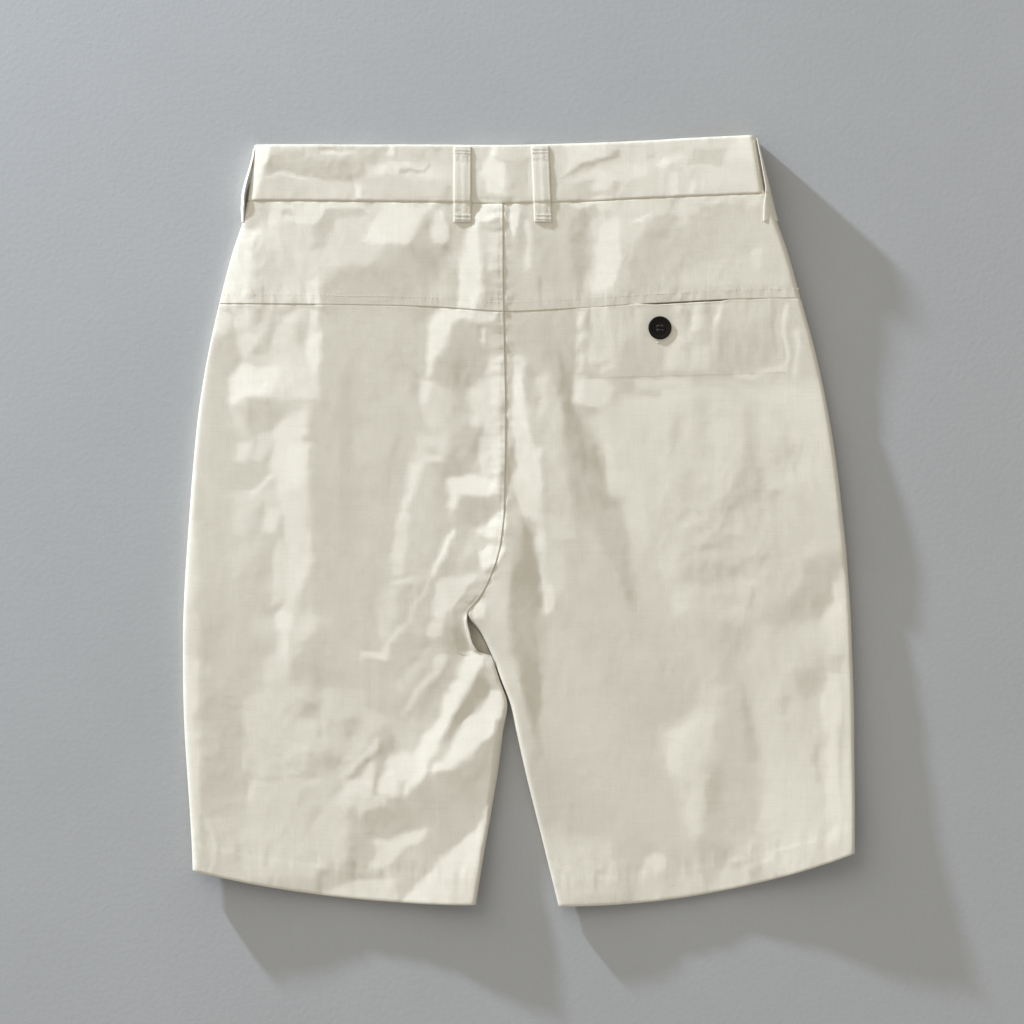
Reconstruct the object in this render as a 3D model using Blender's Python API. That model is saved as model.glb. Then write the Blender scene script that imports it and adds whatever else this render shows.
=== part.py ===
"""Bermuda shorts of pale linen, laid flat with the back upwards and the waist towards +Y.

Metres, +Z up. The origin lies on the surface that the shorts rest on, under the middle of their outline.
Left and right are the wearer's: with the back on top they are -X and +X.
The tables and the functions that read them are in millimetres; build_mesh turns points into metres.
"""

import math
from typing import Callable, NamedTuple

import bmesh
import bpy
import numpy as np

MM = 0.001

# Cloth and seams
CLOTH = 1.2            # one layer of linen, as a wall
BAND = 1.8             # the waistband, two layers with interfacing
HEM_CLOTH = 2.0        # the turned hem
HEM_DEPTH = 22.0
SEAM_GAP = 0.35        # between two pieces that are sewn together
ALLOWANCE_LIFT = 0.5   # how far the turned edges under a seam raise the cloth beside it
ALLOWANCE_WIDTH = 7.0

# Folded edges
SIDE_ROLL = 8.0        # plan radius of the fold at each side
INSEAM_ROLL = 6.0
SIDE_SEAM_Z = 7.0      # height of the side seam above the surface
INSEAM_Z = 4.6
CROTCH_Y = -69.0
EDGE_FLAT = 12.0       # the back is highest this far in from a fold
EDGE_FADE = 24.0       # and falls to the middle height over about twice this
UPRIGHT = 0.12         # share of a fold's height that stands upright at its seam, where two walls meet
FOLD_START = 14.0      # an inner leg edge turns from flat to folded over this length, below the crotch
FRONT_FOLD_LAG = 8.0   # the front starts to fold this much lower than the back, and stays clear of it
CROTCH_EASE = 1.0      # and its fold ends this much lower there

# Waistband and its loops
BAND_STEP = 0.9        # how far the band stands above the yoke
LOOP_WIDTH = 13.0
LOOP_CLOTH = 1.4
LOOP_REST = 0.35       # clearance of a loop over the cloth at its sewn ends
SIDE_LOOP_REST = 0.7   # the same round a side fold
LOOP_LOW = 224.6       # lower end of each loop
LOOP_INSET = 3.0       # upper end, below the top of the band
FRONT_LOOPS_X = (-118.0, 96.0)
BACK_LOOPS_X = (-42.0, 16.2)
FLAT_LOOP_ARCH = 0.7   # how far the middle of a loop stands off what it crosses
BACK_RIGHT_LEAN = 2.4
SIDE_LOOP_ARCH = {"left": 3.4, "right": 2.6}
SIDE_LOOP_TURN = {"left": (-28.0, 42.0), "right": (-20.0, 60.0)}   # reach round the fold, in degrees

# Front closure
FRONT_X = -11.0        # centre front line
FLY_OVERLAP = 8.0      # the left front laps over the right front
FLY_END_Y = 78.0
FLY_EASE = 20.0        # the lap narrows to nothing over this length, below the fly
FLY_SLOPE = 23.0       # the right front comes down off the lap over this width
BAND_TAB = 15.0        # the left band passes the centre front
BAND_UNDERLAP = 25.0   # and the right band runs on behind it
TAB_SLOPE = 36.0       # the right band comes down off the tab over this width
BUTTON_RADIUS = 9.0
BUTTON_THICK = 2.2
HOLE_RADIUS = 0.9
HOLE_OFFSET = 2.2
WAIST_BUTTON_THICK = 1.8
WAIST_BUTTON_Y = 262.0
PRESS_LIFT = 2.1       # height to which a button or a loop under the front props the cloth
ZIP_WIDTH = 24.0
ZIP_TAPE = 0.8

# Back pocket
POCKET_MOUTH = (80.0, 168.0)
POCKET_GAPE = 1.1
POCKET_CLEAR = 0.5     # between the pocket's two layers
POCKET_BUTTON_AT = (106.0, 145.2)

# Density of the sheets
BACK_COLUMNS = 19
FRONT_COLUMNS = 11
BAND_COLUMNS = 32
BAND_ROWS = 4
YOKE_ROWS = 8
ROLL_STEPS = 4         # faces round a folded edge


class Ring(NamedTuple):
    """One section across the shorts at a given y: its edges in plan and the height of its back cloth."""

    y: float
    left: float         # outer fold of the left side
    seat_left: float    # centre back seam, then the inner fold of the left leg
    seat_right: float   # centre back seam, then the inner fold of the right leg
    right: float        # outer fold of the right side
    middle: float       # height of the back in the middle of a panel
    edge: float         # height of the back beside a fold


RINGS = (
    Ring(285.0, -198.0, -12.0, -11.4, 177.5, 9.0, 12.6),
    Ring(245.0, -202.8, -12.0, -11.4, 187.0, 9.0, 13.0),
    Ring(225.0, -207.0, -11.8, -11.2, 193.7, 8.9, 13.4),
    Ring(203.0, -214.3, -11.6, -11.0, 201.5, 8.8, 13.8),
    Ring(165.0, -224.3, -11.3, -10.7, 212.3, 8.6, 14.2),
    Ring(128.0, -232.5, -10.5, -9.9, 222.6, 8.4, 14.4),
    Ring(83.0, -240.0, -9.7, -9.1, 232.3, 8.2, 14.6),
    Ring(38.0, -244.5, -10.1, -9.5, 239.3, 8.1, 14.8),
    Ring(0.0, -247.4, -11.5, -10.9, 243.6, 8.0, 14.9),
    Ring(-22.0, -249.0, -14.7, -14.1, 246.0, 8.0, 14.9),
    Ring(-41.0, -250.2, -21.0, -20.4, 247.4, 8.0, 14.9),
    Ring(-57.0, -251.0, -29.3, -28.7, 248.6, 8.0, 14.8),
    Ring(CROTCH_Y, -251.5, -38.3, -37.5, 249.3, 8.0, 14.8),
    Ring(-83.0, -251.8, -34.0, -28.8, 249.9, 8.0, 14.8),
    Ring(-100.0, -251.9, -21.6, -20.4, 250.4, 8.0, 14.8),
    Ring(-120.0, -251.8, -13.8, -12.6, 251.2, 8.0, 14.8),
    Ring(-135.0, -251.5, -8.6, -6.8, 251.6, 8.0, 14.9),
    Ring(-157.0, -250.6, -11.4, -1.9, 251.8, 8.0, 15.0),
    Ring(-187.0, -248.6, -15.3, 4.9, 251.9, 8.0, 15.2),
    Ring(-217.0, -246.4, -20.2, 12.4, 251.9, 8.1, 15.4),
    Ring(-247.0, -244.6, -25.5, 19.9, 251.6, 8.4, 15.7),
    Ring(-289.0, -243.6, -32.2, 30.2, 250.6, 8.9, 16.0),
)


class Crossing(NamedTuple):
    """Where the seams that run across the back lie at a given x."""

    x: float
    waist_top: float
    waist_seam: float
    yoke_seam: float


CROSSINGS = (
    Crossing(-255.0, 282.4, 240.4, 164.0),
    Crossing(-150.0, 282.4, 240.4, 162.8),
    Crossing(-60.0, 282.4, 239.6, 160.9),
    Crossing(-11.0, 282.2, 238.6, 157.6),
    Crossing(40.0, 283.4, 239.9, 159.9),
    Crossing(100.0, 285.4, 242.5, 163.7),
    Crossing(177.0, 288.4, 244.9, 167.2),
    Crossing(255.0, 289.4, 245.6, 166.8),
)


class Hem(NamedTuple):
    """A leg's lower edge, which climbs from the inner corner to the outer one."""

    inner_y: float
    climb: float
    power: float


LEFT_HEM = Hem(-286.9, 25.7, 2.15)
RIGHT_HEM = Hem(-288.4, 40.6, 2.15)


class Fold(NamedTuple):
    """A soft ridge, or a trough where its height is negative, along a curve through three points in plan."""

    name: str
    start: tuple[float, float]
    middle: tuple[float, float]
    end: tuple[float, float]
    width: float
    height: float


FOLDS = (
    Fold("left thigh swell", (-150, 160), (-168, 30), (-186, -110), 42, 3.6),
    Fold("left seat swell", (-10, 165), (-30, 80), (-60, -20), 30, 1.6),
    Fold("right seat swell", (14, 150), (30, 40), (60, -60), 30, 2.2),
    Fold("right thigh swell", (170, 120), (190, 20), (196, -100), 40, 2.0),
    Fold("left thigh ridge", (-162, 150), (-160, 40), (-172, -105), 17, 2.2),
    Fold("left thigh trough", (-126, 150), (-124, 40), (-136, -100), 20, -1.2),
    Fold("left seat ridge", (-65, 150), (-75, 38), (-105, -100), 13, 1.8),
    Fold("left seat trough", (-38, 146), (-44, 85), (-60, 35), 13, -1.5),
    Fold("left crotch ridge", (-20, 40), (-38, 20), (-62, -2), 11, 1.4),
    Fold("left crotch crease", (-36, -60), (-66, -75), (-102, -105), 10, 1.3),
    Fold("left inner ridge", (-26, -104), (-54, -148), (-92, -208), 11, 2.8),
    Fold("left inner trough", (-14, -118), (-40, -156), (-68, -198), 10, -1.6),
    Fold("left knee ridge", (-10, -132), (-32, -166), (-60, -188), 11, 2.0),
    Fold("left knee trough", (-16, -172), (-60, -208), (-120, -226), 15, -1.0),
    Fold("right seat ridge", (0, 116), (10, 15), (28, -70), 12, 1.9),
    Fold("right inner trough", (3, 0), (12, -78), (22, -165), 12, -1.1),
    Fold("right seat trough", (34, 112), (54, 38), (88, -30), 13, -1.1),
    Fold("right thigh ridge", (128, -90), (132, -166), (136, -240), 14, 1.6),
    Fold("right thigh hollow", (182, -88), (212, -52), (232, -18), 14, -1.0),
    Fold("right hip ridge", (92, -20), (150, 0), (222, 30), 12, 1.0),
    Fold("left yoke ridge", (-30, 232), (-33, 204), (-38, 170), 12, 1.3),
    Fold("left yoke trough", (-60, 222), (-96, 194), (-140, 174), 14, -1.1),
    Fold("right yoke ridge", (75, 236), (64, 204), (50, 170), 11, 1.4),
    Fold("right yoke trough", (166, 232), (130, 216), (84, 196), 15, -1.1),
)


class Corner(NamedTuple):
    """A hem corner that curls off the surface, both layers together."""

    name: str
    at: tuple[float, float]
    reach: float
    lift: float


CORNERS = (
    Corner("left outer", (-244, -261), 84, 3.5),
    Corner("left inner", (-33, -287), 90, 4.5),
    Corner("right inner", (31, -288), 72, 2.5),
    Corner("right outer", (251, -248), 88, 4.5),
)


def table_curve(rows: tuple, at: str, value: str) -> Callable:
    """A smooth curve through one column of a table, as a function of another."""
    ordered = sorted(rows, key=lambda row: getattr(row, at))
    xs = np.array([getattr(row, at) for row in ordered])
    ys = np.array([getattr(row, value) for row in ordered])
    slopes = np.gradient(ys, xs)

    def curve(x):
        x = np.clip(np.asarray(x, float), xs[0], xs[-1])
        k = np.clip(np.searchsorted(xs, x) - 1, 0, len(xs) - 2)
        step = xs[k + 1] - xs[k]
        t = (x - xs[k]) / step
        return (
            ys[k] * (1 + 2 * t) * (1 - t) ** 2
            + slopes[k] * step * t * (1 - t) ** 2
            + ys[k + 1] * t * t * (3 - 2 * t)
            - slopes[k + 1] * step * t * t * (1 - t)
        )

    return curve


side_left = table_curve(RINGS, "y", "left")
side_right = table_curve(RINGS, "y", "right")
seat_left = table_curve(RINGS, "y", "seat_left")
seat_right = table_curve(RINGS, "y", "seat_right")
middle_height = table_curve(RINGS, "y", "middle")
edge_height = table_curve(RINGS, "y", "edge")
waist_top = table_curve(CROSSINGS, "x", "waist_top")
waist_seam = table_curve(CROSSINGS, "x", "waist_seam")
yoke_seam = table_curve(CROSSINGS, "x", "yoke_seam")


def smooth(low: float, high: float, x):
    """0 below low, 1 above high, and a soft step between."""
    t = np.clip((np.asarray(x, float) - low) / (high - low), 0, 1)
    return t * t * (3 - 2 * t)


def bell(distance, width: float):
    return np.exp(-((distance / width) ** 2))


def mound(distance, reach: float):
    """1 in the middle and exactly 0 from reach outwards, so that what it lifts lies flat beyond it."""
    return 1 - smooth(0, reach, distance)


def fold_height(fold: Fold, x, y):
    """How far a fold raises the cloth at x, y. It fades out towards both of its ends."""
    start, middle, end = (np.array(p, float) for p in (fold.start, fold.middle, fold.end))
    control = 2 * middle - (start + end) / 2
    t = np.linspace(0, 1, 13)[:, None]
    line = (1 - t) ** 2 * start + 2 * t * (1 - t) * control + t * t * end
    away = np.full(np.shape(x), np.inf)
    along = np.zeros(np.shape(x))
    for k, (a, b) in enumerate(zip(line[:-1], line[1:])):
        run = b - a
        part = np.clip(((x - a[0]) * run[0] + (y - a[1]) * run[1]) / (run @ run), 0, 1)
        distance = np.hypot(x - a[0] - part * run[0], y - a[1] - part * run[1])
        along = np.where(distance < away, (k + part) / (len(line) - 1), along)
        away = np.minimum(away, distance)
    return fold.height * np.sin(np.pi * (0.06 + 0.88 * along)) ** 0.8 * bell(away, fold.width)


def corner_lift(x, y):
    return sum(c.lift * mound(np.hypot(x - c.at[0], y - c.at[1]), c.reach) for c in CORNERS)


def near_crotch(x, y):
    """1 just below the crotch, where four panels meet, and 0 from 50 mm away."""
    return mound(np.maximum(np.hypot(x - float(seat_left(CROTCH_Y)) - 10, y - CROTCH_Y + 28) - 12, 0), 38)


def edge_distance(x, y):
    """Plan distance to the nearest folded edge: the sides, and below the crotch the inner folds too."""
    sides = np.minimum(x - side_left(y), side_right(y) - x)
    inner = np.maximum(seat_left(y) - x, x - seat_right(y))
    open_seat = 400 * smooth(CROTCH_Y - 40, CROTCH_Y + 60, y)
    return np.maximum(np.minimum(sides, inner + open_seat), 0)


def back_height(x, y):
    """Height of the outer face of the back, before its edges roll under."""
    near_edge = bell(np.maximum(edge_distance(x, y) - EDGE_FLAT, 0), EDGE_FADE)
    base = middle_height(y) + (edge_height(y) - middle_height(y)) * near_edge
    return base + sum(fold_height(f, x, y) for f in FOLDS) + corner_lift(x, y)


def seam_lift(distance):
    """The cloth stands a little higher over the turned edges beside a seam."""
    return ALLOWANCE_LIFT * (1 - smooth(ALLOWANCE_WIDTH, ALLOWANCE_WIDTH + 4, distance))


def left_leg_height(x, y):
    return back_height(x, y) + seam_lift(seat_left(y) - x) * smooth(CROTCH_Y, CROTCH_Y + 12, y)


def yoke_height(x, y):
    on_left = x < (seat_left(y) + seat_right(y)) / 2
    centre = np.where(on_left, seam_lift(seat_left(y) - x), 0)
    return back_height(x, y) + np.maximum(centre, seam_lift(y - yoke_seam(x)))


def band_height(x, y):
    return back_height(x, y) + BAND_STEP


def prop_lift(x, y):
    """The front cloth is propped up by the waist button and by the loops that it lies on."""
    button = mound(np.maximum(np.hypot(x - FRONT_X, y - WAIST_BUTTON_Y) - BUTTON_RADIUS - 5, 0), 50)
    loops = sum(mound(np.maximum(abs(x - at) - LOOP_WIDTH / 2 - 4, 0), 30) for at in FRONT_LOOPS_X)
    return PRESS_LIFT * np.maximum(button, loops * smooth(170, 222, y))


def front_left_height(x, y):
    return prop_lift(x, y) + corner_lift(x, y)


def front_right_height(x, y):
    lap_edge = FRONT_X + FLY_OVERLAP + 3
    over_fly = (CLOTH + SEAM_GAP) * (1 - smooth(lap_edge, lap_edge + FLY_SLOPE, x))
    low_y = FLY_END_Y - 2 * FLY_EASE
    return prop_lift(x, y) + corner_lift(x, y) + over_fly * smooth(low_y - 36, low_y, y)


def front_band_right_height(x, y):
    tab_edge = FRONT_X + BAND_TAB + 4
    over_tab = (BAND + SEAM_GAP) * (1 - smooth(tab_edge, tab_edge + TAB_SLOPE, x))
    return prop_lift(x, y) + over_tab


class Sheet(NamedTuple):
    """A cloth piece: four boundary curves in plan, its surface, and how its two long edges roll under.

    Each curve runs from 0 to 1 and gives x, y. The left and right curves run from the top down.
    """

    top: Callable
    bottom: Callable
    left: Callable
    right: Callable
    surface: Callable
    roll_left: float = 0.0           # plan radius, 0 where the edge doesn't roll
    roll_right: float = 0.0
    seam_left: float = SIDE_SEAM_Z   # height that the rolled edge ends at
    seam_right: float = SIDE_SEAM_Z
    fold_left_from: float = 1e3      # an edge is folded below this y
    fold_right_from: float = 1e3
    crotch_ease: float = 0.0         # how much lower the folded edge ends just below the crotch


def down(edge: Callable, y_top: float, y_bottom: float) -> Callable:
    """The boundary curve along an edge given as x of y, from y_top down to y_bottom."""

    def curve(v):
        y = y_top + (y_bottom - y_top) * np.asarray(v, float)
        return np.stack([edge(y) + 0 * y, y], axis=-1)

    return curve


def across(seam: Callable, x_left: float, x_right: float) -> Callable:
    """The boundary curve along a seam given as y of x, from x_left to x_right."""

    def curve(u):
        x = x_left + (x_right - x_left) * np.asarray(u, float)
        return np.stack([x, seam(x) + 0 * x], axis=-1)

    return curve


def fold_stations(share: float, strength: np.ndarray) -> tuple[np.ndarray, np.ndarray]:
    """Points round one folded edge, from its seam inwards: their share of the width and of the height.

    strength has a value for each row: 1 where the edge is fully folded, 0 where it is flat.
    """
    if not share:
        return np.zeros((len(strength), 1)), np.ones((len(strength), 1))
    angle = np.linspace(0, math.pi / 2, ROLL_STEPS + 1)
    turned = np.concatenate([[0.0], share * (1 - np.cos(angle))])
    rise = np.concatenate([[0.0], UPRIGHT + (1 - UPRIGHT) * np.sin(angle)])
    evenly = np.linspace(0, share, len(turned))
    strength = strength[:, None]
    return evenly + (turned - evenly) * strength, 1 + (rise - 1) * strength


def sheet_points(sheet: Sheet, columns: int, rows: np.ndarray) -> np.ndarray:
    """The outer face of a sheet as rows of points, in millimetres. rows runs from 0 at the top to 1."""
    width = np.linalg.norm(sheet.left(0.5) - sheet.right(0.5))
    shares = sheet.roll_left / width, sheet.roll_right / width
    left, right = sheet.left(rows)[:, None], sheet.right(rows)[:, None]
    folded = [
        1 - smooth(fold_from - FOLD_START, fold_from, edge[:, 0, 1])
        for fold_from, edge in ((sheet.fold_left_from, left), (sheet.fold_right_from, right))
    ]
    (u_left, rise_left), (u_right, rise_right) = (fold_stations(*pair) for pair in zip(shares, folded))
    inner = np.linspace(shares[0], 1 - shares[1], columns)[1:-1] + np.zeros((len(rows), 1))
    u = np.concatenate([u_left, inner, 1 - u_right[:, ::-1]], axis=1)
    rise_left = np.concatenate([rise_left, np.ones_like(inner), np.ones_like(rise_right)], axis=1)
    rise_right = np.concatenate([np.ones_like(u_left), np.ones_like(inner), rise_right[:, ::-1]], axis=1)
    w, v = u[..., None], rows[:, None, None]
    corners = (
        (1 - w) * (1 - v) * sheet.top(0.0)
        + w * (1 - v) * sheet.top(1.0)
        + (1 - w) * v * sheet.bottom(0.0)
        + w * v * sheet.bottom(1.0)
    )
    plan = (1 - v) * sheet.top(u) + v * sheet.bottom(u) + (1 - w) * left + w * right - corners
    x, y = plan[..., 0], plan[..., 1]
    z = sheet.surface(x, y)
    for seam_z, rise in ((sheet.seam_left, rise_left), (sheet.seam_right, rise_right)):
        base = seam_z + corner_lift(x, y) - sheet.crotch_ease * near_crotch(x, y)
        z = base + (z - base) * rise
    return np.stack([x, y, z], axis=-1)


def build_mesh(name: str, grid: np.ndarray, facing_up: bool) -> bpy.types.Object:
    """An object whose mesh is a grid of points, with its faces up or down."""
    rows, columns = grid.shape[:2]
    mesh = bpy.data.meshes.new(name)
    shape = bmesh.new()
    verts = [shape.verts.new(point * MM) for point in grid.reshape(-1, 3)]
    for j in range(rows - 1):
        for i in range(columns - 1):
            a = j * columns + i
            ring = (a, a + columns, a + columns + 1, a + 1)
            shape.faces.new([verts[k] for k in (ring if facing_up else ring[::-1])])
    shape.to_mesh(mesh)
    shape.free()
    mesh.shade_smooth()
    piece = bpy.data.objects.new(name, mesh)
    bpy.context.scene.collection.objects.link(piece)
    return piece


def thicken(piece: bpy.types.Object, thickness: float, outwards: bool = False) -> None:
    """Gives a sheet its wall, on the inner side of the face that was drawn unless told otherwise."""
    wall = piece.modifiers.new("wall", "SOLIDIFY")
    wall.thickness = thickness * MM
    wall.offset = 1.0 if outwards else -1.0
    wall.use_even_offset = True
    wall.use_rim = True


def thicken_with_hem(piece: bpy.types.Object, grid: np.ndarray, hem_edge: Callable) -> None:
    """A wall that is one cloth thick, and two at the turned hem."""
    group = piece.vertex_groups.new(name="hem")
    for k, (x, y, _) in enumerate(grid.reshape(-1, 3)):
        group.add([k], float(1 - smooth(HEM_DEPTH - 4, HEM_DEPTH + 4, y - hem_edge(x))), "REPLACE")
    thicken(piece, HEM_CLOTH)
    wall = piece.modifiers["wall"]
    wall.vertex_group = group.name
    wall.thickness_vertex_group = CLOTH / HEM_CLOTH


def material(name: str, colour: tuple[float, float, float], roughness: float) -> bpy.types.Material:
    made = bpy.data.materials.new(name)
    made.use_nodes = True
    shader = made.node_tree.nodes["Principled BSDF"]
    shader.inputs["Base Color"].default_value = (*colour, 1.0)
    shader.inputs["Roughness"].default_value = roughness
    made.diffuse_color = (*colour, 1.0)
    return made


def hem_curve(hem: Hem, inner_x: float, outer_x: float) -> Callable:
    def curve(x):
        share = np.clip((np.asarray(x, float) - inner_x) / (outer_x - inner_x), 0, 1)
        return hem.inner_y + hem.climb * share**hem.power

    return curve


left_hem = hem_curve(LEFT_HEM, float(seat_left(LEFT_HEM.inner_y)), float(side_left(-261)))
right_hem = hem_curve(RIGHT_HEM, float(seat_right(RIGHT_HEM.inner_y)), float(side_right(-248)))


def seam_below(seam: Callable) -> Callable:
    return lambda x: seam(x) - SEAM_GAP


def seam_above(seam: Callable) -> Callable:
    return lambda x: seam(x) + SEAM_GAP


def meeting_y(edge: Callable, seam: Callable) -> float:
    """The y where an edge, x of y, crosses a seam, y of x."""
    y = 0.0
    for _ in range(8):
        y = float(seam(edge(y)))
    return y


def leg_top(x):
    """Upper edge of a leg panel, a little lower where the pocket's mouth gapes."""
    low, high = POCKET_MOUTH
    return yoke_seam(x) - SEAM_GAP - POCKET_GAPE * smooth(low, low + 30, x) * (1 - smooth(high - 20, high, x))


def leg_sheet(left: bool, back: bool) -> Sheet:
    """One leg panel, back or front, from the seam above it down to its hem."""
    outer = side_left if left else side_right
    hem = left_hem if left else right_hem
    hem_y = LEFT_HEM if left else RIGHT_HEM
    upper = leg_top if back else seam_below(waist_seam)
    inner = inner_edge(left, back)
    outer_edge = down(outer, meeting_y(outer, upper), hem_y.inner_y + hem_y.climb)
    inner_edge_down = down(inner, meeting_y(inner, upper), hem_y.inner_y)
    left_edge, right_edge = (outer_edge, inner_edge_down) if left else (inner_edge_down, outer_edge)
    surface = {
        (True, True): left_leg_height,
        (False, True): back_height,
        (True, False): front_left_height,
        (False, False): front_right_height,
    }[left, back]
    seam_shift = 0.0 if back else -SEAM_GAP
    fold_from = CROTCH_Y if back else CROTCH_Y - FRONT_FOLD_LAG
    rolls = (SIDE_ROLL, INSEAM_ROLL) if left else (INSEAM_ROLL, SIDE_ROLL)
    seams = (SIDE_SEAM_Z + seam_shift, INSEAM_Z + seam_shift)
    return Sheet(
        across(upper, left_edge(0.0)[0], right_edge(0.0)[0]),
        across(hem, left_edge(1.0)[0], right_edge(1.0)[0]),
        left_edge,
        right_edge,
        surface,
        *rolls,
        *(seams if left else seams[::-1]),
        **({"fold_right_from": fold_from} if left else {"fold_left_from": fold_from}),
        crotch_ease=0.0 if back else CROTCH_EASE,
    )


def inner_edge(left: bool, back: bool) -> Callable:
    """The edge of a leg panel that faces the other leg, as x of y."""
    if back:
        return seat_left if left else seat_right

    def front(y):
        lap = FLY_OVERLAP * smooth(FLY_END_Y - FLY_EASE, FLY_END_Y, y)
        return seat_left(y) + lap if left else seat_right(y)

    return front


def yoke_sheet(left: bool) -> Sheet:
    outer, inner = (side_left, seat_left) if left else (side_right, seat_right)
    upper, lower = seam_below(waist_seam), seam_above(yoke_seam)
    edges = [down(edge, meeting_y(edge, upper), meeting_y(edge, lower)) for edge in (outer, inner)]
    left_edge, right_edge = edges if left else edges[::-1]
    return Sheet(
        across(upper, left_edge(0.0)[0], right_edge(0.0)[0]),
        across(lower, left_edge(1.0)[0], right_edge(1.0)[0]),
        left_edge,
        right_edge,
        yoke_height,
        roll_left=SIDE_ROLL if left else 0.0,
        roll_right=0.0 if left else SIDE_ROLL,
    )


BAND_ENDS = {"left": (-198.0, -203.3), "right": (177.0, 184.5)}   # x at the top and at the seam


def band_side(side: str) -> Callable:
    """The short edge of the waistband at a side, from the top down."""
    top_x, low_x = BAND_ENDS[side]
    top_y, low_y = float(waist_top(top_x)), float(waist_seam(low_x)) + SEAM_GAP

    def curve(v):
        v = np.asarray(v, float)
        return np.stack([top_x + (low_x - top_x) * v, top_y + (low_y - top_y) * v], axis=-1)

    return curve


def band_sheet(left_edge: Callable, right_edge: Callable, surface: Callable, **rolls) -> Sheet:
    return Sheet(
        across(waist_top, left_edge(0.0)[0], right_edge(0.0)[0]),
        across(seam_above(waist_seam), left_edge(1.0)[0], right_edge(1.0)[0]),
        left_edge,
        right_edge,
        surface,
        **rolls,
    )


def straight_end(x: float) -> Callable:
    """A cut end of the waistband at one x, from its top down to its seam."""
    return down(lambda y: x + 0 * y, float(waist_top(x)), float(waist_seam(x)) + SEAM_GAP)


def ring_rows(edge: Callable, parts: int) -> np.ndarray:
    """Rows through each ring where it meets an edge, so that both sides of a seam have the same points."""
    top_y, bottom_y = edge(0.0)[1], edge(1.0)[1]
    inside = [ring.y for ring in RINGS if bottom_y + 4 < ring.y < top_y - 4]
    ys = np.array([top_y, *inside, bottom_y])
    places = np.linspace(0, len(ys) - 1, (len(ys) - 1) * parts + 1)
    return (top_y - np.interp(places, range(len(ys)), ys)) / (top_y - bottom_y)


def make_legs(linen: bpy.types.Material) -> None:
    for left in (True, False):
        for back in (True, False):
            name = f"{'back' if back else 'front'}_{'left' if left else 'right'}_leg"
            sheet = leg_sheet(left, back)
            rows = ring_rows(sheet.right if left else sheet.left, 2 if back else 1)
            grid = sheet_points(sheet, BACK_COLUMNS if back else FRONT_COLUMNS, rows)
            piece = build_mesh(name, grid, facing_up=back)
            thicken_with_hem(piece, grid, left_hem if left else right_hem)
            piece.data.materials.append(linen)


def make_yokes(linen: bpy.types.Material) -> None:
    for left in (True, False):
        grid = sheet_points(yoke_sheet(left), BACK_COLUMNS, np.linspace(0, 1, YOKE_ROWS))
        piece = build_mesh(f"yoke_{'left' if left else 'right'}", grid, facing_up=True)
        thicken(piece, CLOTH)
        piece.data.materials.append(linen)


def make_waistband(linen: bpy.types.Material) -> None:
    left, right = band_side("left"), band_side("right")
    under = SIDE_SEAM_Z - SEAM_GAP
    back = band_sheet(left, right, band_height, roll_left=SIDE_ROLL, roll_right=SIDE_ROLL)
    front_left = band_sheet(
        left, straight_end(FRONT_X + BAND_TAB), prop_lift, roll_left=SIDE_ROLL, seam_left=under
    )
    front_right = band_sheet(
        straight_end(FRONT_X - BAND_UNDERLAP),
        right,
        front_band_right_height,
        roll_right=SIDE_ROLL,
        seam_right=under,
    )
    for name, sheet, columns in (
        ("waistband_back", back, BAND_COLUMNS),
        ("waistband_front_left", front_left, BAND_COLUMNS // 2),
        ("waistband_front_right", front_right, BAND_COLUMNS // 2),
    ):
        grid = sheet_points(sheet, columns, np.linspace(0, 1, BAND_ROWS))
        piece = build_mesh(name, grid, facing_up=name == "waistband_back")
        thicken(piece, BAND)
        piece.data.materials.append(linen)


def yoke_and_band_height(x, y):
    """The back's outer face on both sides of the waist seam, with the step between them."""
    on_band = smooth(-5.0, -1.0, y - waist_seam(x))
    return yoke_height(x, y) * (1 - on_band) + band_height(x, y) * on_band


def make_flat_loop(name: str, at_x: float, lean: float, back: bool) -> bpy.types.Object:
    """A belt loop that lies across the waistband, over it on the back and under it on the front."""
    along = np.linspace(0, 1, 11)[:, None]
    top_y = float(waist_top(at_x)) - LOOP_INSET
    x = at_x + lean * along + np.linspace(-LOOP_WIDTH / 2, LOOP_WIDTH / 2, 4)[None, :]
    y = top_y + (LOOP_LOW - top_y) * along + 0 * x
    if back:
        z = yoke_and_band_height(x, y) + LOOP_REST + FLAT_LOOP_ARCH * np.sin(np.pi * along) ** 2
    else:
        z = np.full_like(x, LOOP_CLOTH)
    piece = build_mesh(name, np.stack([x, y, z], axis=-1), facing_up=True)
    thicken(piece, LOOP_CLOTH, outwards=back)
    return piece


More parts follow.
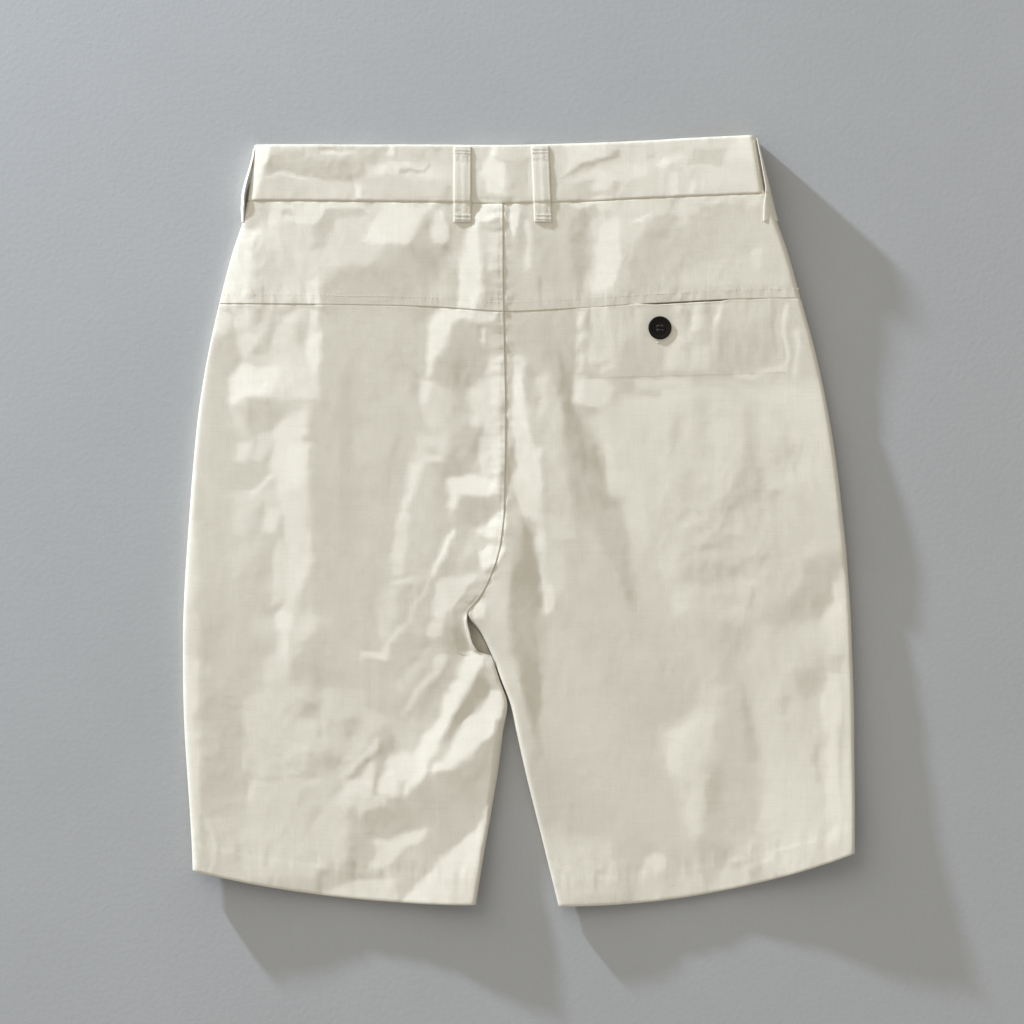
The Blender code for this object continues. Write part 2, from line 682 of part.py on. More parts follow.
def make_side_loop(side: str) -> bpy.types.Object:
    """A belt loop round a side fold, seen edge on from above."""
    sign = -1.0 if side == "left" else 1.0
    body_side = side_left if side == "left" else side_right
    top_x, top_y = band_side(side)(0.0)
    low_x, low_y = band_side(side)(1.0)
    along = np.linspace(0, 1, 13)[:, None]
    y = top_y - LOOP_INSET + (LOOP_LOW - top_y + LOOP_INSET) * along
    on_band = smooth(low_y - 6, low_y - 1, y)
    band_x = low_x + (top_x - low_x) * (y - low_y) / (top_y - low_y)
    middle_x = band_x * on_band + body_side(y) * (1 - on_band) - sign * SIDE_ROLL
    angle = np.radians(np.linspace(*SIDE_LOOP_TURN[side], 5))[None, :]
    above = yoke_and_band_height(middle_x, y) - SIDE_SEAM_Z
    height = np.where(angle > 0, above, SIDE_SEAM_Z)
    out = np.stack([np.cos(angle) / SIDE_ROLL + 0 * height, np.sin(angle) / height], axis=-1)
    out /= np.linalg.norm(out, axis=-1, keepdims=True)
    clearance = SIDE_LOOP_REST + SIDE_LOOP_ARCH[side] * np.sin(np.pi * along) ** 2
    x = middle_x + sign * (SIDE_ROLL * np.cos(angle) + clearance * out[..., 0])
    z = SIDE_SEAM_Z + height * np.sin(angle) + clearance * out[..., 1]
    points = np.stack([x, y + 0 * x, z], axis=-1)
    piece = build_mesh(f"belt_loop_side_{side}", points, facing_up=side == "left")
    thicken(piece, LOOP_CLOTH, outwards=True)
    return piece


def make_loops(linen: bpy.types.Material) -> None:
    loops = (
        make_flat_loop("belt_loop_back_left", BACK_LOOPS_X[0], 0.0, back=True),
        make_flat_loop("belt_loop_back_right", BACK_LOOPS_X[1], BACK_RIGHT_LEAN, back=True),
        make_flat_loop("belt_loop_front_left", FRONT_LOOPS_X[0], 0.0, back=False),
        make_flat_loop("belt_loop_front_right", FRONT_LOOPS_X[1], 0.0, back=False),
        make_side_loop("left"),
        make_side_loop("right"),
    )
    for piece in loops:
        piece.data.materials.append(linen)


class Pocket(NamedTuple):
    """The back pocket's inner layer. reach is how far it runs up behind the yoke."""

    left: float
    right: float
    low_left: float
    low_right: float
    reach: float
    cloth: float


POCKET = Pocket(44.5, 198.6, 108.0, 112.0, 3.0, 0.9)


def make_pocket(linen: bpy.types.Material) -> None:
    """The pocket's inner layer lies behind the right back panel, and is made from its points moved in."""
    u = np.linspace(0, 1, 15)[None, :]
    v = np.linspace(0, 1, 6)[:, None]
    x = POCKET.left + (POCKET.right - POCKET.left) * u + 0 * v
    top = yoke_seam(x) + POCKET.reach
    low = POCKET.low_left + (POCKET.low_right - POCKET.low_left) * u
    y = top + (low - top) * v
    z = back_height(x, y) - CLOTH - POCKET_CLEAR
    piece = build_mesh("back_pocket", np.stack([x, y, z], axis=-1), facing_up=True)
    thicken(piece, POCKET.cloth)
    piece.data.materials.append(linen)


def make_button(name: str, x: float, y: float, low: float, thick: float, face_down: bool) -> bpy.types.Object:
    """A round four-hole button with a raised rim and a dished middle, turned as a profile about its axis."""
    radius = BUTTON_RADIUS
    profile = (
        (0.0, 0.0),
        (radius * 0.82, 0.0),
        (radius, thick * 0.4),
        (radius, thick * 0.75),
        (radius * 0.92, thick),
        (radius * 0.78, thick),
        (radius * 0.66, thick * 0.7),
        (0.0, thick * 0.62),
    )
    mesh = bpy.data.meshes.new(name)
    shape = bmesh.new()
    points = [shape.verts.new((r * MM, 0, z * MM)) for r, z in profile]
    edges = [shape.edges.new(pair) for pair in zip(points[:-1], points[1:])]
    bmesh.ops.spin(
        shape, geom=points + edges, cent=(0, 0, 0), axis=(0, 0, 1), angle=math.tau, steps=20, use_merge=True
    )
    bmesh.ops.remove_doubles(shape, verts=shape.verts, dist=1e-6)
    bmesh.ops.recalc_face_normals(shape, faces=shape.faces)
    shape.to_mesh(mesh)
    shape.free()
    mesh.shade_smooth()
    mesh.set_sharp_from_angle(angle=math.radians(40))
    piece = bpy.data.objects.new(name, mesh)
    bpy.context.scene.collection.objects.link(piece)
    piece.location = (x * MM, y * MM, (low + (thick if face_down else 0)) * MM)
    if face_down:
        piece.rotation_euler = (math.pi, 0, 0)
    drill(piece, thick)
    return piece


def drill(button: bpy.types.Object, thick: float) -> None:
    """Four sewing holes, cut by short round bars."""
    for k in range(4):
        angle = math.pi / 4 + k * math.pi / 2
        bpy.ops.mesh.primitive_cylinder_add(vertices=10, radius=HOLE_RADIUS * MM, depth=thick * 4 * MM)
        bar = bpy.context.object
        bar.name = f"{button.name}_hole_{k}"
        bar.parent = button
        bar.location = (HOLE_OFFSET * math.cos(angle) * MM, HOLE_OFFSET * math.sin(angle) * MM, 0)
        bar.hide_render = True
        bar.display_type = "WIRE"
        cut = button.modifiers.new(f"hole_{k}", "BOOLEAN")
        cut.operation = "DIFFERENCE"
        cut.object = bar


def make_buttons(horn: bpy.types.Material) -> None:
    x, y = POCKET_BUTTON_AT
    rim = np.linspace(0, math.tau, 16)
    round_x, round_y = x + BUTTON_RADIUS * np.cos(rim), y + BUTTON_RADIUS * np.sin(rim)
    highest = float(back_height(round_x, round_y).max())
    pieces = (
        make_button("pocket_button", x, y, highest + SEAM_GAP, BUTTON_THICK, face_down=False),
        make_button("waist_button", FRONT_X, WAIST_BUTTON_Y, 0.0, WAIST_BUTTON_THICK, face_down=True),
    )
    for piece in pieces:
        piece.data.materials.append(horn)


def make_zip(tape: bpy.types.Material) -> None:
    """The closed zip behind the fly: a plain tape on the inner side of both fronts."""
    y = np.linspace(float(waist_seam(FRONT_X)) - 2, FLY_END_Y + 12, 12)[:, None]
    x = FRONT_X + np.linspace(-ZIP_WIDTH / 2, ZIP_WIDTH / 2, 4)[None, :] + 0 * y
    y = y + 0 * x
    z = prop_lift(x, y) + 2 * CLOTH + 3 * SEAM_GAP
    piece = build_mesh("fly_zip", np.stack([x, y, z], axis=-1), facing_up=True)
    thicken(piece, ZIP_TAPE, outwards=True)
    piece.data.materials.append(tape)


def main() -> None:
    for old in list(bpy.data.objects):
        bpy.data.objects.remove(old)
    linen = material("linen", (0.66, 0.62, 0.52), 0.85)
    horn = material("dark horn", (0.02, 0.016, 0.012), 0.35)
    tape = material("zip tape", (0.6, 0.56, 0.46), 0.8)
    make_legs(linen)
    make_yokes(linen)
    make_waistband(linen)
    make_loops(linen)
    make_pocket(linen)
    make_buttons(horn)
    make_zip(tape)


main()
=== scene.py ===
"""Pale linen bermuda shorts, laid flat with the back upwards: every piece's finish, the light and the camera.

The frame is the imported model's: metres, +Z up, the waist towards +Y, the wearer's left at -X.
The tables and the functions that read them are in millimetres; a mesh turns them into metres.
"""

import logging
import math
from dataclasses import dataclass, field
from enum import Enum
from typing import Any, Callable

import bmesh
import bpy
import numpy as np
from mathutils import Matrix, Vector


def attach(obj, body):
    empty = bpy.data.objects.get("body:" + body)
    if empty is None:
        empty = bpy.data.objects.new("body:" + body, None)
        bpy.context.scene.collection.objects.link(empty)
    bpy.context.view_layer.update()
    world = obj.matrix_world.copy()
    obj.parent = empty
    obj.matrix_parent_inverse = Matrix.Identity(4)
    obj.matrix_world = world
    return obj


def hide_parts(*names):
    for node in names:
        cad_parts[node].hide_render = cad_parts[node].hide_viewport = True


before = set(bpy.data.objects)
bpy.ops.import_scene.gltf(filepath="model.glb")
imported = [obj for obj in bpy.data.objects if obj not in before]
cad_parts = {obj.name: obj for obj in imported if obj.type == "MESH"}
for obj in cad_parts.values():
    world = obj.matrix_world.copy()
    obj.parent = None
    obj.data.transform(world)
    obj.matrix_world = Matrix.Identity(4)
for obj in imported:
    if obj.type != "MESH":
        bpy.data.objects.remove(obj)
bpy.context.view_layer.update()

Array = np.ndarray
Curve = Callable[[Array], Array]
Height = Callable[[Array, Array], Array]

MM = 0.001
BODY = "root"
LOG = logging.getLogger("shorts")


class Side(Enum):
    """The wearer's sides. With the back on top, left is -X."""

    LEFT = "left"
    RIGHT = "right"

    @property
    def outwards(self) -> float:
        """The direction of this side along X."""
        return -1.0 if self is Side.LEFT else 1.0

    def in_order(self, outer: Any, inner: Any) -> tuple[Any, Any]:
        """What belongs to this side's outer and inner edge, as the left and the right one."""
        return (outer, inner) if self is Side.LEFT else (inner, outer)


# ---------------------------------------------------------------- tables, in millimetres


@dataclass(frozen=True)
class Ring:
    """A section across the shorts: its edges in plan, and how high the back's outer face lies."""

    y: float
    left: float
    seat_left: float
    seat_right: float
    right: float
    middle: float
    edge_left: float
    edge_right: float


RINGS = (
    Ring(285.0, -198.0, -12.0, -11.4, 177.5, 10.5, 11.5, 14.5),
    Ring(245.0, -202.8, -12.0, -11.4, 187.0, 10.5, 11.5, 14.5),
    Ring(225.0, -207.0, -11.8, -11.2, 193.7, 10.3, 11.0, 13.5),
    Ring(203.0, -214.3, -11.6, -11.0, 201.5, 10.0, 10.0, 12.0),
    Ring(165.0, -224.3, -11.3, -10.7, 212.3, 9.7, 9.2, 10.5),
    Ring(128.0, -232.5, -10.5, -9.9, 222.6, 9.5, 9.0, 9.8),
    Ring(83.0, -240.0, -9.7, -9.1, 232.3, 9.3, 9.0, 9.5),
    Ring(38.0, -244.5, -10.1, -9.5, 239.3, 9.2, 9.0, 9.5),
    Ring(0.0, -247.4, -11.5, -10.9, 243.6, 9.2, 9.0, 9.5),
    Ring(-22.0, -249.0, -14.7, -14.1, 246.0, 9.2, 9.0, 9.5),
    Ring(-41.0, -250.2, -21.0, -20.4, 247.4, 9.2, 9.0, 9.6),
    Ring(-57.0, -251.0, -29.3, -28.7, 248.6, 9.2, 9.1, 9.8),
    Ring(-69.0, -251.5, -38.3, -37.5, 249.3, 9.2, 9.2, 9.9),
    Ring(-83.0, -251.8, -34.0, -28.8, 249.9, 9.1, 9.3, 10.0),
    Ring(-100.0, -251.9, -21.6, -20.4, 250.4, 9.0, 9.4, 10.2),
    Ring(-120.0, -251.8, -13.8, -12.6, 251.2, 8.9, 9.6, 10.4),
    Ring(-135.0, -251.5, -8.6, -6.8, 251.6, 8.8, 9.8, 10.6),
    Ring(-157.0, -250.6, -11.4, -1.9, 251.8, 8.6, 10.0, 10.8),
    Ring(-187.0, -248.6, -15.3, 4.9, 251.9, 7.8, 10.2, 11.2),
    Ring(-217.0, -246.4, -20.2, 12.4, 251.9, 6.8, 10.4, 11.6),
    Ring(-247.0, -244.6, -25.5, 19.9, 251.6, 5.6, 10.4, 11.8),
    Ring(-289.0, -243.6, -32.2, 30.2, 250.6, 4.6, 10.2, 11.8),
)
CROTCH_Y = -69.0
FAR = 400.0                     # farther than the cloth reaches


@dataclass(frozen=True)
class Crossing:
    """Where the seams that run across the back lie at a given x."""

    x: float
    waist_top: float
    waist_seam: float
    yoke_seam: float


CROSSINGS = (
    Crossing(-255.0, 282.4, 240.4, 164.0),
    Crossing(-150.0, 282.4, 240.4, 162.8),
    Crossing(-60.0, 282.4, 239.6, 160.9),
    Crossing(-11.0, 282.2, 238.6, 157.6),
    Crossing(40.0, 283.4, 239.9, 159.9),
    Crossing(100.0, 285.4, 242.5, 163.7),
    Crossing(177.0, 288.4, 244.9, 167.2),
    Crossing(255.0, 289.4, 245.6, 166.8),
)


@dataclass(frozen=True)
class Hem:
    """A leg's lower edge, which climbs from the inner corner to the outer one."""

    inner_y: float
    climb: float
    power: float
    depth: float = 22.0


LEFT_HEM = Hem(-286.9, 25.7, 2.15)
RIGHT_HEM = Hem(-288.4, 40.6, 2.15)


@dataclass(frozen=True)
class Facet:
    """A patch of cloth that tilts as one.

    rise is how fast it climbs away from the light, in millimetres to the metre. A negative one falls away.
    soft is half the width of its edge, and outline its corners in plan: x, y, x, y and so on.
    """

    rise: float
    soft: float
    outline: tuple[float, ...]


FLAT_RISE = -58.0               # most of the cloth falls away gently between its ridges

# The lie of the cloth, patch by patch. A row is a facet's rise, its softness and its outline, and a later
# row lies over an earlier one.
LEFT_RIM = (
    (15, 2, (-256, 0, -241, 0, -241.5, -110, -256, -110)),
    (95, 2.5, (-256, -96, -241, -106, -239, -180, -239, -270, -256, -270)),
    (60, 2, (-256, 40, -243, 40, -245, -60, -256, -60)),
)
LEFT_HIP = (
    (40, 3, (-214, 160, -150, 160, -148, 90, -186, 88, -216, 84, -217, 105, -208, 122, -212, 142)),
    (100, 3, (-230, 142, -228, 162, -216, 157, -214, 148, -222, 142)),
    (-50, 2.5, (-180, 161, -169, 161, -176, 150, -183, 138, -184, 128, -196, 124, -201, 128, -188, 144)),
    (-70, 2, (-200, 161, -193, 161, -194, 150, -197, 146, -199, 148)),
    (95, 2, (-213, 160, -201, 160, -202, 146, -211, 142)),
    (105, 2.5, (-208, 140, -196, 141, -203, 128, -207, 122)),
    (100, 2, (-175, 152, -168, 158, -166, 150, -172, 146)),
    (-45, 3, (-165, 150, -158, 159, -158, 140, -162, 130, -168, 136)),
    (95, 2, (-157, 158, -150, 158, -151, 144, -156, 144)),
    (130, 2, (-157, 141, -148, 141, -147.5, 128, -149, 112, -158, 108, -159, 122)),
    (75, 3, (-180, 120, -150, 112, -149, 92, -186, 92, -180, 102)),
    (145, 2.5, (-208, 120, -200, 116, -180, 117, -180, 102, -184, 94, -206, 92, -216, 86, -216, 104,
        -212, 113)),
    (-10, 2.5, (-190, 92, -150, 89, -156, 80, -176, 82)),
    (-62, 2.5, (-203, 90, -190, 92, -180, 87, -176, 80, -184, 74, -186, 69, -198, 66, -203, 74)),
    (30, 2.5, (-216, 84, -204, 82, -203, 72, -201, 62, -208, 64, -214, 74)),
    (85, 2, (-211, 58, -206, 62, -201, 60, -201, 47, -210, 46)),
    (-65, 4, (-214, 44, -200, 46, -188, 42, -190, 34, -200, 26, -212, 24)),
    (50, 2, (-197, 62, -186, 66, -186, 56, -192, 48, -199, 48)),
    (8, 4, (-215, 20, -200, 22, -190, 28, -178, 24, -178, 0, -214, 0)),
    (105, 2.5, (-180, 78, -160, 84, -158, 70, -162, 60, -158, 56, -157, 30, -160, 20, -180, 24, -186, 38,
        -184, 52, -187, 66)),
    (135, 3, (-172, 58, -164, 56, -163, 30, -166, 20, -178, 24, -176, 36)),
    (95, 1.5, (-202, 20, -192, 30, -184, 38, -182, 34, -190, 27, -199, 18)),
    (-70, 2.5, (-200, 8, -192, 12, -190, 2, -198, 0)),
)
LEFT_THIGH = (
    (-78, 5, (-134, 110, -121, 110, -121, -24, -134, -24)),
    (40, 3, (-181, -8, -174, -18, -178, -60, -187, -62, -185, -30)),
    (76, 3.2, (-182, 24, -158, 27, -158, 0, -155.5, -12, -156, -34, -160, -46, -166, -66, -170, -78,
        -176, -72, -177, -50, -174, -20, -176, 0, -180, 10)),
    (130, 3, (-185, -72, -178, -66, -170, -74, -172, -100, -176, -108, -185, -104, -180, -86)),
    (38, 3, (-166, -72, -156, -64, -150, -74, -152, -82, -162, -88, -164, -100, -172, -104, -170, -80)),
    (-12, 4, (-200, -76, -186, -72, -180, -84, -190, -88, -200, -84)),
    (45, 4, (-187, -100, -172, -104, -172, -122, -184, -126, -193, -118)),
    (25, 3, (-213, 0, -201, 0, -203, -12, -212, -10)),
    (85, 2, (-191, 8, -179, 8, -182, -8, -191, -6)),
    (-15, 5, (-218, -25, -205, -15, -190, -18, -200, -30, -214, -40)),
    (-75, 5, (-200, -28, -186, -22, -186, -42, -196, -44)),
    (-85, 4, (-238, -74, -228, -80, -228, -110, -238, -108)),
    (-75, 4, (-236, -126, -209, -130, -206, -170, -204, -230, -210, -258, -226, -262, -236, -200)),
    (-98, 4, (-231, -176, -221, -176, -221, -193, -230, -193)),
    (-35, 4, (-237, -222, -206, -218, -204, -232, -208, -266, -226, -268, -238, -264)),
    (60, 1.3, (-235, -222, -230, -226, -228, -262, -231, -262, -232, -240)),
    (20, 6, (-207, -132, -178, -120, -150, -126, -120, -130, -100, -150, -110, -170, -130, -190, -150, -215,
        -156, -250, -150, -264, -200, -268, -206, -240, -202, -200, -206, -160)),
    (-75, 3, (-156, -94, -146, -96, -146, -128, -154, -128)),
    (22, 2, (-146, -126, -138, -126, -140, -134, -152, -134)),
    (30, 4, (-205, -134, -196, -136, -192, -164, -200, -172, -206, -160)),
    (-60, 3, (-166, -134, -150, -134, -148, -146, -160, -148)),
    (-70, 1.2, (-151, -151, -148, -151, -147, -160, -150, -162)),
    (35, 2.5, (-176, -164, -164, -162, -160, -176, -174, -180)),
    (-55, 3, (-158, -176, -134, -168, -130, -180, -150, -196, -160, -190)),
    (-72, 3, (-134, -148, -120, -146, -118, -160, -132, -164)),
    (70, 1.5, (-203, -198, -198, -194, -199, -212, -203, -212)),
    (45, 3, (-132, -200, -126, -212, -127, -250, -136, -258, -150, -262, -157, -236, -146, -212)),
)
LEFT_SEAT = (
    (120, 2, (-64, 159, -52, 159, -48, 148, -52, 138, -58, 126, -62, 122, -64, 112, -69, 110, -69, 130,
        -66, 145)),
    (98, 1.5, (-60, 160, -14, 158, -18, 150, -36, 150, -44, 150, -50, 146)),
    (12, 2.5, (-72, 108, -62, 104, -52, 98, -50, 88, -52, 80, -54, 70, -70, 70, -74, 88)),
    (92, 2, (-73, 108, -66, 106, -68, 88, -74, 88)),
    (-85, 2.5, (-48, 148, -40, 150, -22, 148, -22, 120, -24, 106, -34, 104, -40, 92, -46, 80, -52, 98,
        -60, 104, -60, 118, -50, 130)),
    (85, 1.2, (-27.5, 134, -25, 146, -22.5, 144, -24.5, 134)),
    (85, 2, (-22, 122, -14, 124, -13, 112, -22, 112)),
    (-20, 3, (-44, 82, -38, 80, -40, 66, -52, 64, -54, 80)),
    (88, 3, (-36, 98, -30, 104, -22, 109, -13, 110, -13, 34, -30, 36, -30, 60, -38, 78)),
    (-40, 2.5, (-38, 71, -28, 72, -26, 64, -32, 62, -40, 64)),
    (120, 2.5, (-24, 64, -14, 64, -13, 36, -24, 38)),
    (-85, 2.5, (-51, 56, -36, 58, -33, 46, -42, 36, -53, 34, -54, 24, -52, 4, -60, 2, -64, 20, -58, 36)),
    (150, 2, (-54, 32, -36, 35, -14, 33, -14, 22, -34, 20, -44, 20, -47, 10, -50, 6, -52, 20)),
    (-75, 2.5, (-44, 8, -38, 16, -16, 20, -14, 10, -22, 6, -30, 0, -40, -2, -48, 0)),
    (42, 3, (-76, 66, -54, 66, -50, 56, -56, 46, -70, 44, -72, 40, -78, 22, -83, 24, -80, 44)),
    (105, 1.5, (-72, 47, -58, 50, -58, 45, -71, 43)),
    (-35, 2, (-68, 57, -60, 57, -60, 51, -68, 51)),
    (-38, 3, (-76, 36, -66, 42, -64, 28, -70, 10, -74, -30, -82, -30, -80, 12)),
    (100, 2.3, (-83, 42, -74, 42, -78, 22, -82, 10, -84, -2, -91, -2, -87, 12, -83, 26)),
    (-92, 2, (-97, 28, -92, 50, -88, 64, -92, 66, -98, 40, -101, 26)),
    (-82, 2.5, (-80, 134, -74, 150, -68, 157, -66, 158, -76, 158, -80, 142)),
    (60, 2.2, (-91, 2, -82, 2, -82, -20, -87, -42, -97, -42, -97, -30, -93, -14)),
    (75, 1.2, (-98, -46, -78, -42, -76, -44, -80, -47, -96, -48.7)),
    (22, 3, (-101, -50, -90, -50, -89, -66, -95, -84, -100, -92, -105, -84, -105, -68)),
    (85, 1.5, (-84, -76, -91, -78, -98, -92, -104, -98, -118, -98, -119, -102, -106, -102, -100, -104,
        -94, -92, -86, -82)),
    (-30, 4, (-82, -4, -62, -4, -64, -34, -72, -50, -84, -40)),
    (-75, 3, (-60, -2, -46, -2, -44, -34, -52, -42, -60, -34)),
    (165, 1.0, (-49.5, -4, -46, -5, -52.5, -18, -58.5, -32, -63, -42, -66, -41, -61, -28, -55.5, -16)),
    (35, 1.5, (-64, -42, -68, -44, -79, -64, -86, -76, -82, -77, -74, -62)),
)
CROTCH = (
    (82, 2, (-26, -35, -34, -39, -46, -41, -58, -42, -60, -50, -64, -60, -66, -78, -71, -86, -64, -88,
        -58, -82, -54, -70, -48, -62, -40, -52, -34, -44)),
    (12, 2, (-42, -26, -34, -24, -30, -20, -32, -12, -34, -6, -38, -14, -46, -30, -44, -36)),
    (190, 1.5, (-34, -5, -24, -1, -16, 6, -12, 7, -10, -12, -32, -12)),
    (22, 1.5, (-34, -13, -14, -13, -14, -17, -24, -18, -32, -24)),
    (185, 1.5, (-28, -22, -20, -18, -11, -18, -14, -30, -24, -34, -28, -30)),
    (-85, 1.5, (-35, -26, -29, -22, -28, -34, -34, -38, -40, -36)),
    (-90, 2.5, (-26, -40, -30, -38, -36, -46, -46, -58, -50, -70, -56, -84, -58, -94, -50, -100, -42, -98,
        -38, -84, -40, -72, -36, -60, -29, -50)),
    (-160, 2, (-48, -78, -42, -74, -40, -88, -43, -99, -49, -92)),
    (8, 2, (-72, -96, -65, -96, -70, -104, -80, -116, -90, -130, -93, -124, -82, -110)),
    (82, 1.8, (-60, -100, -54, -103, -56, -112, -68, -124, -78, -136, -87, -147, -85, -140, -76, -126,
        -66, -110)),
    (-90, 2, (-54, -106, -50, -103, -58, -124, -68, -140, -72, -146, -78, -138, -66, -124, -56, -114)),
    (150, 1.5, (-34, -66, -24, -55, -21, -62, -26, -71, -34, -71)),
)
LEFT_KNEE = (
    (0, 3, (-62, -150, -70, -146, -80, -146, -92, -158, -94, -170, -86, -176, -76, -174, -70, -160)),
    (-100, 1.3, (-94, -158, -104, -168, -116, -181, -128, -190, -126, -193, -112, -185, -102, -175,
        -92, -166)),
    (95, 1.3, (-101, -161, -107, -162, -120, -177, -130, -187, -136, -193, -130, -191, -117, -180,
        -106, -170)),
    (120, 1.8, (-108, -180, -108, -206, -114, -210, -133, -205, -131, -194, -118, -189)),
    (150, 2, (-74, -177, -70, -187, -78, -197, -88, -194, -90, -202, -104, -207, -107, -200, -100, -186,
        -96, -177, -86, -173)),
    (-95, 1.4, (-93, -164, -98, -170, -106, -182, -110, -196, -111.5, -207, -108, -207, -106, -194,
        -101, -184, -94, -172)),
    (60, 1.5, (-133, -204, -112, -206, -96, -203, -99, -210, -115, -216, -119, -223, -122, -214, -134, -211)),
    (-110, 1.8, (-28, -108, -19, -124, -22, -130, -30, -136, -38, -146, -48, -158, -54, -165, -59, -160,
        -52, -150, -44, -134, -34, -118)),
    (200, 1.5, (-36, -95, -28, -98, -24, -100, -28, -109, -34, -119, -44, -135, -52, -151, -58, -160,
        -62, -171, -67, -182, -71, -192, -82, -204, -86, -206, -84, -197, -79, -187, -76, -176, -72, -164,
        -64, -151, -56, -133, -48, -117, -43, -106)),
    (15, 2, (-60, -161, -54, -165, -51, -172, -57, -181, -66, -181, -63, -171)),
    (190, 1.7, (-19, -128, -11, -128, -8, -138, -9, -148, -16, -150, -20, -158, -28, -165, -36, -175,
        -44, -181, -50, -184, -60, -186, -64, -191, -67, -185, -58, -176, -52, -171, -46, -161, -36, -147,
        -26, -137)),
    (95, 1.3, (-24, -108, -17, -120, -11, -128, -8, -128, -12, -116, -20, -103, -25, -100)),
    (-72, 3, (-116, -219, -98, -211, -84, -208, -73, -199, -66, -192, -52, -187, -40, -183, -28, -171,
        -14, -166, -16, -190, -20, -213, -34, -229, -50, -245, -66, -261, -80, -273, -96, -262, -114, -240)),
    (-105, 3, (-42, -198, -34, -191, -22, -178, -26, -190, -38, -200)),
    (-78, 2, (-126, -214, -120, -220, -115, -232, -114, -262, -124, -268, -134, -258, -127.5, -250)),
    (98, 1.8, (-66, -232, -80, -232, -92, -236, -108, -240, -106, -246, -108, -254, -113, -260, -102, -261,
        -94, -253, -86, -245, -74, -240)),
    (-35, 2, (-74, -242, -84, -248, -90, -254, -72, -256, -68, -244)),
    (150, 1.5, (-19, -212, -22, -230, -27, -250, -32, -292, -97, -292, -78, -274, -66, -262, -52, -248,
        -38, -234, -26, -223)),
    (85, 3, (-31, -260, -40, -262, -50, -270, -54, -290, -34, -290)),
    (72, 2, (-90, -268, -112, -268, -128, -270, -147, -281, -97, -290, -90, -278)),
    (-100, 1.2, (-152, -260, -148, -260, -146, -280, -150, -281)),
)
